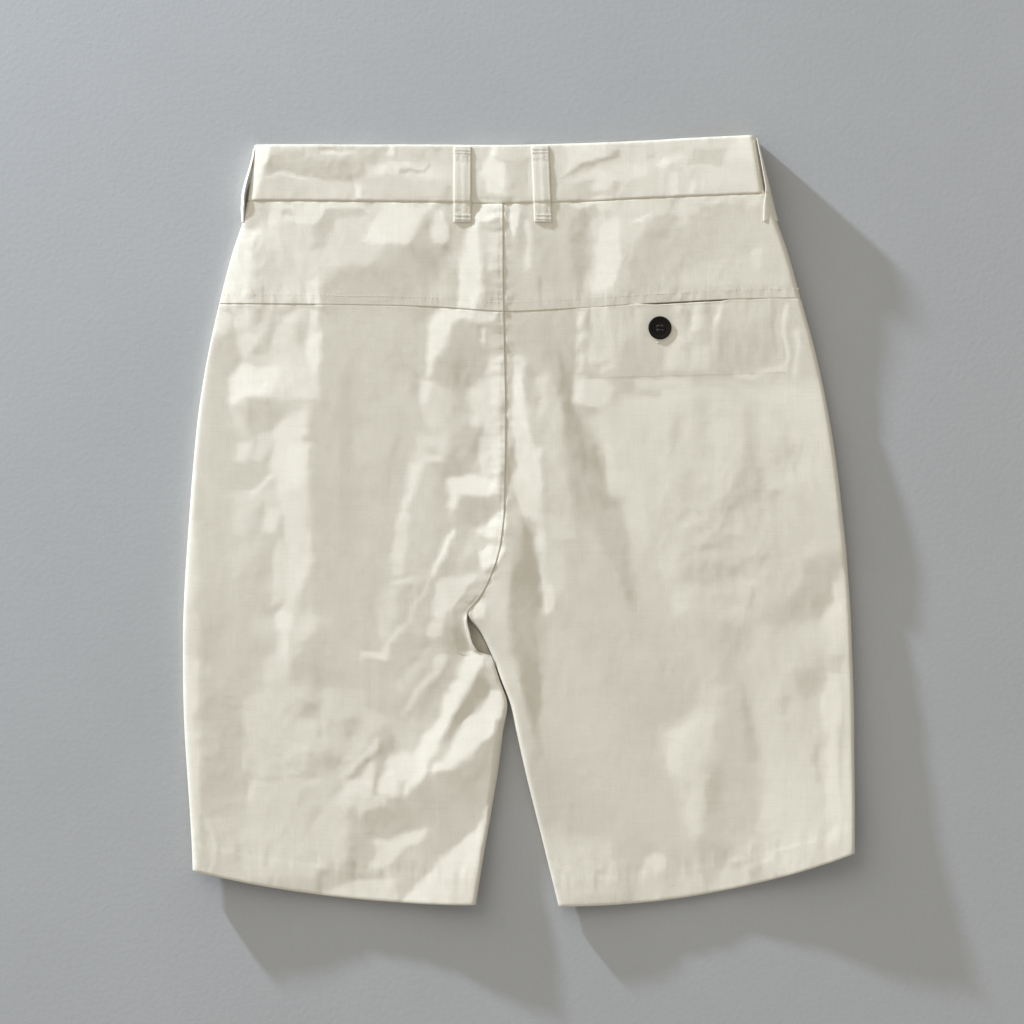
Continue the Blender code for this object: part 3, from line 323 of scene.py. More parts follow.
RIGHT_SEAT = (
    (-44, 20, (26, 108, 60, 132, 250, 112, 266, -310, 26, -310)),
    (92, 1.5, (-5, 120, 0, 126, 6, 124, 6, 118, 2, 112, -5, 112)),
    (130, 2.2, (-5, 112, 4, 110, 4, 90, 8, 84, 8, 72, 10, 60, 16, 56, 18, 40, 18, 20, 20, 0, 12, 0, 6, 6,
        0, 14, -4, 26, -2, 40, -5, 70, -5, 90)),
    (55, 2, (13, 108, 20, 111, 23, 96, 22, 80, 13, 78, 17, 90)),
    (-5, 3, (21, 100, 31, 98, 33, 60, 35, 30, 44, -8, 46, -30, 24, -20, 20, 20, 20, 60)),
    (-42, 2, (10, 78, 20, 76, 23, 67, 13, 65)),
    (112, 3, (12, 4, 19.5, 4, 20, -20, 20, -42, 26, -50, 28, -64, 23, -70, 18, -68, 16, -50, 14, -24)),
    (55, 3, (20, 4, 34, 2, 41, -10, 30, -14, 22, -14)),
    (12, 3, (22, -14, 36, -20, 34, -44, 30, -60, 26, -50, 21, -20)),
    (-150, 5, (3, 4, 8, 2, 11, -14, 14, -30, 16, -56, 18, -70, 18, -110, 17, -140, 14, -160, 11, -160,
        8, -146, 0, -112, -6, -96, -9, -80, -9, -58, -5, -40, 0, -20)),
    (-200, 3, (5, 0, 9, -10, 9.5, -44, 5, -44, 4, -20)),
    (-175, 5, (0, -104, 16, -108, 17, -120, 13, -148, 8, -140, 2, -120)),
    (-10, 2, (-16, -30, -8, -26, -5, -44, -9, -58, -9, -80, -6, -98, 0, -120, 6, -148, 11, -170, 6, -196,
        0, -170, -7, -140, -14, -112, -22, -90, -26, -72, -24, -56)),
    (-125, 4, (29, 128, 34, 118, 36, 104, 42, 100, 42, 90, 46, 80, 52, 72, 54, 64, 60, 60, 62, 44, 66, 26,
        76, 12, 80, 0, 84, -12, 86, -40, 90, -56, 86, -64, 80, -56, 72, -38, 62, -16, 50, 0, 42, 12, 37, 26,
        35, 50, 34, 80, 33, 92, 29, 94, 29, 104, 33, 110)),
    (-170, 3, (34, 90, 42, 89, 42, 80, 36, 81)),
    (-158, 4, (43, 50, 50, 54, 52, 30, 64, 26, 76, 10, 64, 8, 54, 20, 46, 34)),
    (-20, 4, (62, -20, 80, -60, 84, -76, 70, -70, 50, -44, 46, -30, 46, -14)),
    (60, 7, (66, 92, 120, 104, 150, 104, 170, 90, 170, 60, 160, 20, 120, -10, 90, -16, 80, 2, 70, 26, 66, 50,
        57, 64, 52, 76)),
    (74, 9, (160, 104, 228, 104, 238, 40, 240, -20, 200, 10, 180, 40, 176, 80)),
    (92, 1.5, (43, 108, 58, 108.5, 66, 106, 72, 100, 67, 92, 64, 87, 43, 87)),
    (150, 1.5, (43.5, 107.5, 50, 107, 48, 90, 43.5, 88)),
    (98, 2.5, (63.5, 60, 70, 62, 72, 44, 66, 42)),
    (50, 2, (66, 42, 74, 40, 75, 20, 71, 20, 67, 30)),
    (80, 3, (97, 64, 106, 72, 112, 72, 112, 50, 106, 36, 100, 36, 96, 50)),
    (70, 2.5, (107, 98, 114, 98, 114, 78, 107, 74)),
    (45, 2, (84, 106, 110, 109, 130, 109, 130, 102, 108, 102, 92, 98)),
    (-45, 1.5, (92, 98, 108, 98, 106, 94, 92, 94)),
    (-5, 4, (114, 80, 120, 80, 124, 64, 118, 56, 114, 66)),
    (5, 5, (128, 92, 142, 92, 144, 70, 142, 44, 136, 46, 130, 70)),
    (80, 5, (146, 70, 158, 77, 166, 66, 165, 54, 152, 53, 146, 60)),
    (65, 4, (100, 20, 110, 36, 122, 34, 120, 10, 118, 0, 104, 0, 98, 8)),
    (0, 4, (120, 34, 130, 36, 132, 20, 128, 2, 122, 2)),
    (12, 5, (186, 58, 200, 64, 210, 52, 206, 40, 190, 40)),
    (42, 3, (192, 10, 206, 26, 220, 30, 235, 24, 239, 12, 230, 8, 214, 10, 200, 6)),
    (-30, 5, (214, 10, 230, 8, 230, -6, 216, -9, 205, -5)),
    (-70, 2, (188, 24, 198, 24, 192, 16, 187, 18)),
)
POCKET_FACETS = (
    (-18, 3, (44, 112, 198, 114, 198, 166, 44, 158)),
    (48, 2, (55, 160, 70, 160, 70, 140, 72, 128, 72, 113, 56, 115, 51, 124, 57, 136)),
    (-52, 4, (76, 134, 96, 134, 108, 128, 106, 113, 78, 113, 80, 124)),
    (50, 2.5, (109, 128, 128, 130, 146, 132, 141, 116, 128, 114, 111, 113)),
    (120, 1.3, (115, 162, 120, 162, 118.5, 145, 115, 147)),
    (110, 1.3, (132, 163, 138, 163, 136, 148, 132, 143, 129, 135, 126, 135, 130, 147)),
    (105, 1.3, (147, 164, 153, 164, 150, 150, 144, 143, 146, 151)),
    (40, 2, (89, 161, 96, 161, 95, 150, 92, 138, 89, 142)),
    (-68, 2, (121, 150, 128, 150, 128, 138, 122, 138)),
    (-68, 1.5, (140, 160, 146, 160, 143, 148, 139, 150)),
    (-58, 5, (152, 142, 188, 150, 190, 117, 152, 116)),
    (105, 1.3, (43.5, 150, 43.5, 160, 50, 160, 48, 148, 45, 145)),
    (95, 1.5, (44, 140, 48, 144, 52, 140, 46, 132)),
    (-70, 2, (50, 158, 54, 158, 54, 142, 51, 142)),
    (105, 1.2, (44.5, 124, 48, 127, 49, 120, 46.5, 111, 44.5, 111)),
    (75, 1.5, (60, 112, 74, 121, 72, 123, 60, 115)),
    (-60, 2, (56, 121, 70, 121, 60, 114, 54, 116)),
    (70, 1.4, (160, 112, 180, 113, 198, 117, 206, 116, 206, 111.5, 190, 110, 172, 108, 160, 108.5)),
    (105, 0.8, (198.6, 165, 201.5, 165, 201.5, 117, 198.8, 117)),
    (60, 1.5, (206, 142, 211, 142, 210, 104, 206.5, 106)),
    (-85, 1.2, (202.5, 132, 206, 132, 206, 110, 202.5, 112)),
    (-92, 1.5, (189, 165, 194, 165, 192, 125, 190, 125)),
)
RIGHT_THIGH = (
    (26, 6, (100, 10, 140, 8, 200, 14, 236, 8, 241, -20, 222, -30, 212, -50, 200, -62, 180, -72, 160, -74,
        140, -68, 116, -68, 108, -40, 98, -20)),
    (-32, 4, (130, -31, 168, -30, 168, -40, 150, -46, 130, -47, 121, -42)),
    (75, 2, (109, -14, 124, -6, 136, -2, 134, 6, 126, 3, 113, -6)),
    (58, 4, (102, -30, 112, -21, 119, -26, 119, -38, 104, -39)),
    (38, 2.5, (119, -66, 128, -66, 131, -54, 124, -48, 119, -56)),
    (-28, 2.5, (130, -19, 164, -10, 166, -15, 132, -25)),
    (-55, 2, (180, -32, 188, -26, 188, -24, 184, -24, 180, -29)),
    (55, 2.5, (205, -28, 222, -12, 222, -26, 210, -34)),
    (55, 2, (165, -46, 173, -43, 177, -52, 172, -66, 166, -77, 160, -70, 164, -56)),
    (-65, 1.3, (173, -50, 176, -52, 173, -66, 170, -66)),
    (-44, 4, (216, -32, 236, -34, 236, -50, 230, -64, 226, -72, 206, -76, 195, -66, 204, -56, 212, -46)),
    (130, 2, (237, -44, 243, -46, 244.5, -64, 243.5, -90, 240, -101, 231, -102, 226, -90, 226, -76,
        232, -66)),
    (84, 5, (206, -79, 226, -75, 230, -100, 216, -102, 204, -113, 197, -104, 203, -90)),
    (-22, 3, (134, -88, 146, -90, 150, -118, 140, -128, 133, -116)),
    (48, 7, (176, -74, 206, -80, 238, -104, 242, -240, 228, -258, 200, -266, 182, -264, 182, -200, 176, -140,
        168, -100)),
    (-85, 2.5, (166, -124, 174, -140, 178, -160, 181, -178, 172, -178, 168, -150)),
    (-20, 2, (199, -130, 204, -132, 203, -143, 200, -145)),
    (-25, 2, (199, -148, 202, -148, 201.5, -162, 199, -162)),
    (-22, 4, (207, -114, 227, -108, 230, -122, 215, -135, 207, -128)),
    (35, 3, (182, -108, 196, -106, 196, -118, 184, -122)),
    (38, 4, (204, -146, 220, -146, 220, -172, 206, -168)),
    (-60, 2, (221, -166, 226, -168, 226, -194, 222, -194)),
    (50, 3, (183, -222, 191, -216, 193, -196, 186, -198)),
    (155, 2, (230, -112, 242, -117, 242, -140, 238, -162, 234, -164, 228, -150, 227, -136)),
    (138, 2, (232, -162, 238, -162, 240, -180, 242.5, -220, 241, -254, 230, -257, 226, -230, 229, -200,
        231, -180)),
    (105, 3, (241, -36, 258, -36, 260, -262, 240, -262, 243, -200, 242, -120)),
    (70, 2.5, (194, -236, 212, -222, 228, -212, 228, -258, 214, -262, 205, -264, 208, -248)),
    (62, 6, (118, -153, 130, -142, 148, -131, 151, -140, 147, -156, 145, -176, 139, -184, 140, -200,
        138, -226, 134, -240, 128, -237, 123, -226, 121, -206, 118, -190, 112, -187, 107, -176, 105, -164,
        110, -156)),
    (125, 4, (113, -160, 122, -153, 135, -149, 127, -162, 123, -180, 121, -190, 114, -189, 111, -174)),
    (85, 3, (124, -204, 132, -204, 133, -226, 126, -226)),
    (20, 3, (138, -120, 154, -123, 151, -134, 133, -133)),
    (-85, 3, (145, -180, 153, -184, 153, -218, 142, -218, 141, -196)),
    (24, 7, (21, -237, 60, -238, 70, -244, 71, -280, 30, -290, 22, -250)),
    (50, 2.5, (66, -244, 70, -246, 71, -276, 67, -276)),
    (-60, 1.8, (57, -262, 62, -262, 62, -278, 57, -278)),
    (100, 2, (98, -250, 109, -248, 109, -263, 104, -269, 97, -262)),
    (20, 3, (88, -264, 97, -258, 107, -270, 140, -263, 141, -284, 88, -290)),
    (-85, 3, (134, -236, 151, -240, 149, -262, 142, -278, 136, -260)),
    (40, 2, (144, -280, 151, -260, 174, -257, 177, -270, 150, -280)),
    (40, 2.5, (160, -252, 176, -236, 180, -240, 168, -254)),
    (-95, 1.5, (173, -262, 181, -261, 181, -270, 176, -270)),
    (140, 1.2, (179, -256, 190, -249, 191, -253, 184, -258)),
    (75, 1.5, (198, -264, 199, -252, 207, -250, 206, -266)),
)
LEFT_YOKE_FACETS = (
    (28, 4, (-214, 240, -60, 240, -60, 232, -80, 212, -100, 205, -112, 192, -130, 190, -145, 182, -150, 163,
        -225, 163)),
    (140, 4, (-210, 220, -196, 219, -200, 200, -202, 180, -204, 163, -226, 163)),
    (-50, 2, (-206, 226, -198, 238, -188, 237, -187, 221, -207, 220)),
    (90, 2, (-186, 239, -120, 239, -112, 234, -142, 232, -146, 224, -180, 224, -186, 220)),
    (-25, 1.5, (-178, 234, -170, 235, -168, 230, -177, 229)),
    (-52, 2, (-144, 233, -116, 234, -112, 228, -134, 226, -142, 212, -146, 203, -155, 203, -155, 222,
        -148, 224)),
    (118, 3, (-104, 239, -62, 239, -66, 232, -80, 220, -84, 208, -106, 208, -116, 210, -112, 222, -106, 230)),
    (-80, 4, (-80, 209, -62, 206, -52, 206, -56, 190, -62, 180, -68, 166, -72, 158, -150, 160, -148, 178,
        -136, 188, -122, 194, -104, 188, -92, 197, -86, 206)),
    (-50, 2.5, (-72, 228, -67, 231, -65, 214, -67, 206, -80, 208, -78, 214)),
    (118, 2, (-64, 231, -54, 233, -53, 216, -58, 208, -65, 210)),
    (10, 3, (-52, 214, -42, 210, -46, 190, -60, 186, -64, 170, -50, 172)),
    (145, 3, (-40, 222, -30, 227, -26, 210, -28, 196, -28, 180, -30, 160, -46, 160, -46, 182, -44, 200)),
    (150, 2, (-28, 240, -13, 240, -12, 222, -30, 226, -32, 230)),
    (-50, 1.5, (-28, 226, -14, 228, -14, 222, -26, 224)),
    (22, 2.5, (-28, 218, -12, 216, -12, 190, -22, 188, -26, 200)),
    (-48, 2, (-28, 182, -14, 186, -12, 178, -26, 176)),
    (-60, 2, (-201, 175, -192, 175, -192, 163, -201, 163)),
    (0, 4, (-200, 205, -186, 202, -170, 204, -166, 186, -180, 184, -194, 194)),
    (105, 1.5, (-160, 178, -151, 186, -150, 164, -158, 164)),
)
RIGHT_YOKE_FACETS = (
    (-38, 8, (-8, 240, 190, 246, 216, 166, 100, 164, -8, 158)),
    (110, 1.5, (34, 240.5, 72, 243, 72, 236, 62, 232, 56, 236, 44, 236)),
    (142, 1.5, (-8, 238, 0, 238, 2, 234, -2, 218, -6, 211, -7, 222)),
    (85, 1.5, (5, 227, 9, 225, 10, 196, 8, 190, 4, 188, 6, 204, 4, 212)),
    (50, 3, (72, 241, 110, 242, 116, 236, 120, 242, 150, 244, 180, 244, 180, 236, 168, 234, 150, 238,
        138, 236, 130, 228, 128, 222, 122, 222, 118, 230, 104, 228, 92, 218, 86, 206, 78, 214, 78, 228,
        70, 230)),
    (70, 5, (50, 222, 62, 232, 82, 233, 84, 214, 84, 198, 80, 180, 74, 170, 60, 168, 42, 172, 44, 184,
        52, 196, 54, 208)),
    (135, 3.2, (59, 220, 66, 227, 77, 228, 78, 214, 78, 200, 76, 184, 72, 176, 62, 172, 49, 175, 51, 184,
        58, 194, 60, 204)),
    (10, 3, (78, 214, 84, 206, 82, 180, 74, 172, 76, 190)),
    (140, 1.3, (83, 224, 90, 228, 100, 230, 90, 222)),
    (-62, 2, (134, 238, 152, 239, 152, 232, 136, 230)),
    (-58, 1.8, (163, 240, 170, 240, 170, 230, 164, 230)),
    (-72, 3, (96, 218, 112, 222, 114, 212, 98, 208)),
    (0, 3, (116, 180, 132, 194, 150, 196, 174, 200, 184, 206, 184, 190, 200, 184, 200, 176, 160, 178,
        130, 175)),
    (45, 2, (174, 204, 182, 204, 182, 191, 175, 191)),
    (-22, 3, (184, 232, 196, 230, 206, 200, 208, 180, 190, 184, 184, 200, 186, 216)),
    (-95, 1.2, (14, 184, 18, 184, 18, 160, 15, 160)),
    (-85, 4, (38, 228, 52, 232, 54, 170, 42, 170)),
)
BAND_FACETS = (
    (3, 2, (-204, 288, 180, 292, 180, 246, -204, 242)),
    (36, 5, (62, 288, 182, 292, 182, 246, 62, 243)),
    (190, 3, (-206, 288, -182, 288, -188, 270, -194, 258, -196, 244, -206, 242)),
    (-72, 2, (-190, 268, -180, 278, -162, 278, -160, 272, -118, 272, -114, 266, -118, 258, -126, 254,
        -144, 254, -158, 260, -192, 261)),
    (-80, 1, (-150, 281, -137, 281, -136, 278, -150, 278)),
    (120, 1, (-148, 277, -130, 277, -122, 280, -122, 277, -130, 274, -146, 275)),
    (-45, 2, (-124, 280, -112, 280, -92, 279, -94, 270, -110, 270, -120, 273)),
    (110, 1.2, (-99, 280, -95, 280, -95, 273, -99, 273)),
    (80, 1, (-190, 259.5, -160, 259.5, -157, 257, -190, 257.5)),
    (110, 1.2, (-124, 252, -118, 253, -118, 243, -124, 243)),
    (78, 2, (-112, 268, -60, 269, -51, 262, -51, 256, -112, 260)),
    (-85, 1, (-89, 263, -74, 264, -66, 269, -65, 266, -76, 261, -89, 260)),
    (-45, 1.5, (-82, 280, -70, 280, -70, 273, -80, 273)),
    (-95, 1.5, (-66, 282, -57, 281, -58, 272, -62, 276)),
    (-95, 1.2, (-55, 251, -50, 251, -50, 242, -55, 242)),
    (138, 2, (-22, 281, -15, 279, -18, 272, -9, 266, -9, 246, -22, 246, -29, 262)),
    (-62, 2, (-16, 272, 8, 272, 8, 244, -5, 248, -6, 262, -10, 268)),
    (105, 2, (36, 288, 66, 288, 66, 273, 46, 269, 34, 258, 29, 257, 36, 268)),
    (-95, 1.2, (29, 255, 38, 262, 50, 269, 66, 274, 75, 279, 75, 272, 60, 268, 44, 262, 34, 256)),
    (88, 2, (36, 255, 54, 263, 76, 267, 96, 268, 96, 258, 80, 256, 62, 246, 56, 246, 52, 257)),
    (-50, 2, (44, 254, 54, 256, 54, 245, 44, 245)),
    (-45, 1.5, (72, 256, 79, 256, 79, 246, 72, 246)),
    (125, 1.5, (100, 268, 110, 274, 124, 275, 122, 271, 106, 266)),
    (-60, 1, (97, 275, 104, 276, 102, 272, 97, 272)),
    (92, 1.5, (112, 262, 119, 262, 119, 246, 113, 246)),
    (118, 1.2, (129, 256, 134, 256, 132, 245, 129, 245)),
    (68, 3, (134, 266, 176, 270, 176, 250, 134, 252)),
    (-52, 2, (130, 278, 154, 278, 154, 268, 136, 268, 128, 266)),
    (100, 3, (154, 290, 177, 290, 177, 268, 156, 270)),
)
FACETS = tuple(
    Facet(*row)
    for row in LEFT_RIM + LEFT_HIP + LEFT_THIGH + LEFT_SEAT + CROTCH + LEFT_KNEE + RIGHT_SEAT + POCKET_FACETS
    + RIGHT_THIGH + LEFT_YOKE_FACETS + RIGHT_YOKE_FACETS + BAND_FACETS
)


@dataclass(frozen=True)
class Corner:
    """A corner that curls off the surface. reach is how far in from it the lift is felt.

    One that is creased curls up about a straight line that runs away from the light.
    """

    name: str
    at: tuple[float, float]
    reach: float
    lift: float
    creased: bool = False
    back_only: bool = False


CORNERS = (
    Corner("left outer", (-244, -261), 92, 5.2, True),
    Corner("left inner", (-33, -287), 80, 5.4),
    Corner("right inner", (31, -288), 66, 3.0),
    Corner("right outer", (251, -248), 92, 7.0),
    Corner("right waist", (182, 280), 84, 7.4, True, True),
)


# ---------------------------------------------------------------- small mathematics


def table_curve(rows: tuple, at: str, value: str) -> Curve:
    """A smooth curve through one column of a table, as a function of another.

    Args:
        rows: The table.
        at: The column that the curve is read at.
        value: The column that it gives.

    Returns:
        The curve, held level beyond the table's ends.
    """
    ordered = sorted(rows, key=lambda row: getattr(row, at))
    xs = np.array([getattr(row, at) for row in ordered])
    ys = np.array([getattr(row, value) for row in ordered])
    slopes = np.gradient(ys, xs)

    def curve(x: Array) -> Array:
        """The column's value at x."""
        x = np.clip(np.asarray(x, float), xs[0], xs[-1])
        k = np.clip(np.searchsorted(xs, x) - 1, 0, len(xs) - 2)
        step = xs[k + 1] - xs[k]
        t = (x - xs[k]) / step
        start = ys[k] * (1 + 2 * t) * (1 - t) ** 2 + slopes[k] * step * t * (1 - t) ** 2
        end = ys[k + 1] * t * t * (3 - 2 * t) - slopes[k + 1] * step * t * t * (1 - t)
        return start + end

    return curve


def smooth(low: float, high: float, x: Array) -> Array:
    """0 below low, 1 above high, and a soft step between."""
    t = np.clip((np.asarray(x, float) - low) / (high - low), 0, 1)
    return t * t * (3 - 2 * t)


def bell(distance: Array, width: float) -> Array:
    """1 at no distance, falling softly to 0 over about twice the width."""
    return np.exp(-((distance / width) ** 2))


def mound(distance: Array, reach: float) -> Array:
    """1 in the middle and exactly 0 from reach outwards."""
    return 1 - smooth(0, reach, distance)


class Noise:
    """Seeded gradient noise over the plan, from about -1 to 1, with features about one unit across."""

    SIZE = 256

    def __init__(self, seed: int) -> None:
        """Draws the gradients.

        Args:
            seed: The seed of the one draw.
        """
        angle = np.random.default_rng(seed).uniform(0, math.tau, (self.SIZE, self.SIZE))
        self.east, self.north = np.cos(angle), np.sin(angle)

    def __call__(self, x: Array, y: Array) -> Array:
        """The noise at x, y.

        Args:
            x: The place along X.
            y: The place along Y.

        Returns:
            Its value, from about -1 to 1.
        """
        x, y = np.broadcast_arrays(np.asarray(x, float), np.asarray(y, float))
        col, row = np.floor(x).astype(int), np.floor(y).astype(int)
        fx, fy = x - col, y - row

        def corner(right: int, up: int) -> Array:
            """The part that one corner of the cell gives."""
            at = (col + right) % self.SIZE, (row + up) % self.SIZE
            return self.east[at] * (fx - right) + self.north[at] * (fy - up)

        u = fx**3 * (fx * (6 * fx - 15) + 10)
        v = fy**3 * (fy * (6 * fy - 15) + 10)
        low = corner(0, 0) * (1 - u) + corner(1, 0) * u
        high = corner(0, 1) * (1 - u) + corner(1, 1) * u
        return 1.5 * (low * (1 - v) + high * v)


AWAY_FROM_LIGHT = np.array([0.66, -0.75])


class Lie:
    """The height of the cloth whose slope away from the light comes nearest to the rise of every facet."""

    LOW = (-292.0, -332.0)          # the corner of the grid, in millimetres
    CELLS = (584, 664)              # one cell is a millimetre square
    LEVEL_OVER = 80.0               # a rise that goes on for longer than this evens out
    ACROSS = 0.22                   # how much the slope across the light is held back
    STRENGTH = 1.36                 # makes up for both
    MOTTLE = 24.0                   # how much the rise varies where the cloth is crumpled
    WIDE_BEND = (2.8, 17.0)         # how far the facets' edges stray, and over what distance
    FINE_BEND = (1.7, 6.3)

    def __init__(self, noises: list[Noise], ground: Height, rough: Height) -> None:
        """Paints the facets over the plan, with uneven edges, and finds the height.

        Args:
            noises: Six noises, which bend the edges and mottle the cloth.
            ground: The height that the facets are laid over, whose own slope they make up for.
            rough: How crumpled the cloth is.
        """
        x, y = (low + np.arange(count) for low, count in zip(self.LOW, self.CELLS))
        x, y = np.broadcast_arrays(x[:, None], y[None, :])
        (wide, wide_size), (fine, fine_size) = self.WIDE_BEND, self.FINE_BEND
        at_wide, at_fine = (x / wide_size, y / wide_size), (x / fine_size, y / fine_size)
        bent_x = x + wide * noises[0](*at_wide) + fine * noises[1](*at_fine)
        bent_y = y + wide * noises[2](*at_wide) + fine * noises[3](*at_fine)
        self.softness = np.clip(1.15 + 1.1 * noises[5](x / 24, y / 24), 0.45, 2.2)
        rise = np.full(x.shape, FLAT_RISE)
        for facet in FACETS:
            self.paint(rise, facet, bent_x, bent_y)
        mottle = 0.9 * noises[2](bent_x / 13, bent_y / 21) + 0.8 * noises[4](bent_x / 6.5, bent_y / 12)
        mottle += 0.35 * noises[5](bent_x / 3.6, bent_y / 4.6)
        rise += self.MOTTLE * rough(x, y) * mottle
        slope_x, slope_y = np.gradient(ground(x, y))
        rise -= (AWAY_FROM_LIGHT[0] * slope_x + AWAY_FROM_LIGHT[1] * slope_y) / MM
        along_x, along_y = (math.tau * np.fft.fftfreq(count) for count in self.CELLS)
        away = AWAY_FROM_LIGHT[0] * along_x[:, None] + AWAY_FROM_LIGHT[1] * along_y[None, :]
        across = AWAY_FROM_LIGHT[1] * along_x[:, None] - AWAY_FROM_LIGHT[0] * along_y[None, :]
        stiffness = away**2 + (self.ACROSS * across) ** 2 + self.LEVEL_OVER**-2
        self.height = self.STRENGTH * np.fft.ifft2(-1j * away * np.fft.fft2(rise * MM) / stiffness).real

    def paint(self, rise: Array, facet: Facet, x: Array, y: Array) -> None:
        """Lays one facet over those before it.

        Args:
            rise: The rise at every cell, changed in place.
            facet: The facet.
            x: The bent place of every cell along X.
            y: The bent place of every cell along Y.
        """
        corners = np.array(facet.outline, float).reshape(-1, 2)
        margin = facet.soft * self.softness.max()
        low, high = corners.min(axis=0) - margin, corners.max(axis=0) + margin
        near = (x > low[0]) & (x < high[0]) & (y > low[1]) & (y < high[1])
        px, py = x[near], y[near]
        inside, away = np.zeros(px.shape, bool), np.full(px.shape, np.inf)
        for (ax, ay), (bx, by) in zip(corners, np.roll(corners, -1, axis=0)):
            run_x, run_y = bx - ax, by - ay
            part = np.clip(((px - ax) * run_x + (py - ay) * run_y) / (run_x**2 + run_y**2), 0, 1)
            away = np.minimum(away, np.hypot(px - ax - part * run_x, py - ay - part * run_y))
            if ay != by:
                inside ^= ((ay > py) != (by > py)) & (px < ax + run_x * (py - ay) / run_y)
        soft = facet.soft * self.softness[near]
        share = smooth(-soft, soft, np.where(inside, away, -away))
        rise[near] += (facet.rise - rise[near]) * share

    def __call__(self, x: Array, y: Array) -> Array:
        """The height at x, y, by cubic interpolation.

        Args:
            x: The place along X.
            y: The place along Y.

        Returns:
            The height.
        """
        x, y = np.broadcast_arrays(np.asarray(x, float), np.asarray(y, float))
        u = np.clip(x - self.LOW[0], 1, self.CELLS[0] - 3)
        v = np.clip(y - self.LOW[1], 1, self.CELLS[1] - 3)
        col, row = u.astype(int), v.astype(int)

        def weights(t: Array) -> tuple[Array, ...]:
            """The shares of the four cells round a place."""
            return (
                t * (-0.5 + t * (1 - 0.5 * t)),
                1 + t * t * (-2.5 + 1.5 * t),
                t * (0.5 + t * (2 - 1.5 * t)),
                t * t * (-0.5 + 0.5 * t),
            )

        total = np.zeros(x.shape)
        for i, share_x in enumerate(weights(u - col)):
            for j, share_y in enumerate(weights(v - row)):
                total += share_x * share_y * self.height[col + i - 1, row + j - 1]
        return total


def graded(length: float, fine: tuple[float, float], zone: tuple[float, float], coarse: float) -> Array:
    """Places from 0 to 1 along a length, closer together near its two ends.

    Args:
        length: The length, in millimetres.
        fine: The spacing at the start and at the end.
        zone: How far the fine spacing reaches from the start and from the end.
        coarse: The spacing in between.

    Returns:
        An odd number of places, so that every second one can be left out.
    """
    s = np.linspace(0, length, 4000)
    spacing = np.full(s.shape, coarse)
    for step, reach, away in ((fine[0], zone[0], s), (fine[1], zone[1], length - s)):
        spacing = np.minimum(spacing, step + (coarse - step) * smooth(reach, 2.5 * reach + 1, away))
    count = np.concatenate([[0], np.cumsum(np.diff(s) / spacing[1:])])
    cells = 2 * math.ceil(count[-1] / 2)
    return np.interp(np.linspace(0, count[-1], cells + 1), count, s) / length


# ---------------------------------------------------------------- the cut of the shorts, in plan


class Pattern:
    """Every seam, fold and hem in plan, as curves in millimetres."""

    def __init__(self) -> None:
        """Draws the curves from the tables."""
        self.side = {side: table_curve(RINGS, "y", side.value) for side in Side}
        self.seat = {side: table_curve(RINGS, "y", f"seat_{side.value}") for side in Side}
        self.waist_top = table_curve(CROSSINGS, "x", "waist_top")
        self.waist_seam = table_curve(CROSSINGS, "x", "waist_seam")
        self.yoke_seam = table_curve(CROSSINGS, "x", "yoke_seam")
        self.hem_of = {Side.LEFT: LEFT_HEM, Side.RIGHT: RIGHT_HEM}
        self.hem = {side: self._hem_curve(side) for side in Side}

    def _hem_curve(self, side: Side) -> Curve:
        """The lower edge of one leg, as y of x."""
        hem = self.hem_of[side]
        inner_x = float(self.seat[side](hem.inner_y))
        outer_x = float(self.side[side](hem.inner_y + hem.climb))

        def curve(x: Array) -> Array:
            """The hem's y at x."""
            share = np.clip((np.asarray(x, float) - inner_x) / (outer_x - inner_x), 0, 1)
            return hem.inner_y + hem.climb * share**hem.power

        return curve

    def seam_centre(self, y: Array) -> Array:
        """The centre back seam, and below the crotch the line between the two inner folds."""
        return (self.seat[Side.LEFT](y) + self.seat[Side.RIGHT](y)) / 2

    def edge_distances(self, x: Array, y: Array) -> tuple[Array, Array, Array]:
        """Plan distances to the left side, to the right side and to the nearer inner fold."""
        inner = np.maximum(self.seat[Side.LEFT](y) - x, x - self.seat[Side.RIGHT](y))
        open_seat = FAR * smooth(CROTCH_Y - 40, CROTCH_Y + 60, y)
        left, right = x - self.side[Side.LEFT](y), self.side[Side.RIGHT](y) - x
        return np.maximum(left, 0), np.maximum(right, 0), np.maximum(inner + open_seat, 0)


def meeting_y(edge: Curve, seam: Curve) -> float:
    """The y where an edge, x of y, crosses a seam, y of x."""
    y = 0.0
    for _ in range(8):
        y = float(seam(edge(y)))
    return y


# ---------------------------------------------------------------- the height of the cloth


@dataclass(frozen=True)
class Pocket:
    """The back pocket's mouth in the yoke seam and its stitched outline."""

    mouth: tuple[float, float] = (80.0, 168.0)
    gape: float = 1.5
    left: float = 44.5
    right: float = 198.6
    low_left: float = 108.0
    low_right: float = 112.0
    button_at: tuple[float, float] = (106.0, 145.2)
    button_sink: float = 0.25
    button_slope: tuple[float, float] = (-0.045, 0.051)
    button_pull: tuple[float, float] = (9.2, 23.0)     # flat within the first radius, free outside the second
    groove: float = 0.06
    groove_width: float = 1.2

    def open_share(self, x: Array) -> Array:
        """1 along the mouth, 0 beyond its ends."""
        low, high = self.mouth
        return smooth(low - 6, low + 24, x) * (1 - smooth(high - 18, high + 2, x))

    def low_edge(self, x: Array) -> Array:
        """The pocket's lower stitched edge, as y of x."""
        climb = (self.low_right - self.low_left) * (x - self.left) / (self.right - self.left)
        return self.low_left + climb


# How far the left panel draws back from its seam at the crotch: places along Y, and the distance there.
CROTCH_GAP = ((-100.5, -98.5, -92.0, -84.0, -72.0), (0.0, 7.9, 6.7, 2.9, 0.0))

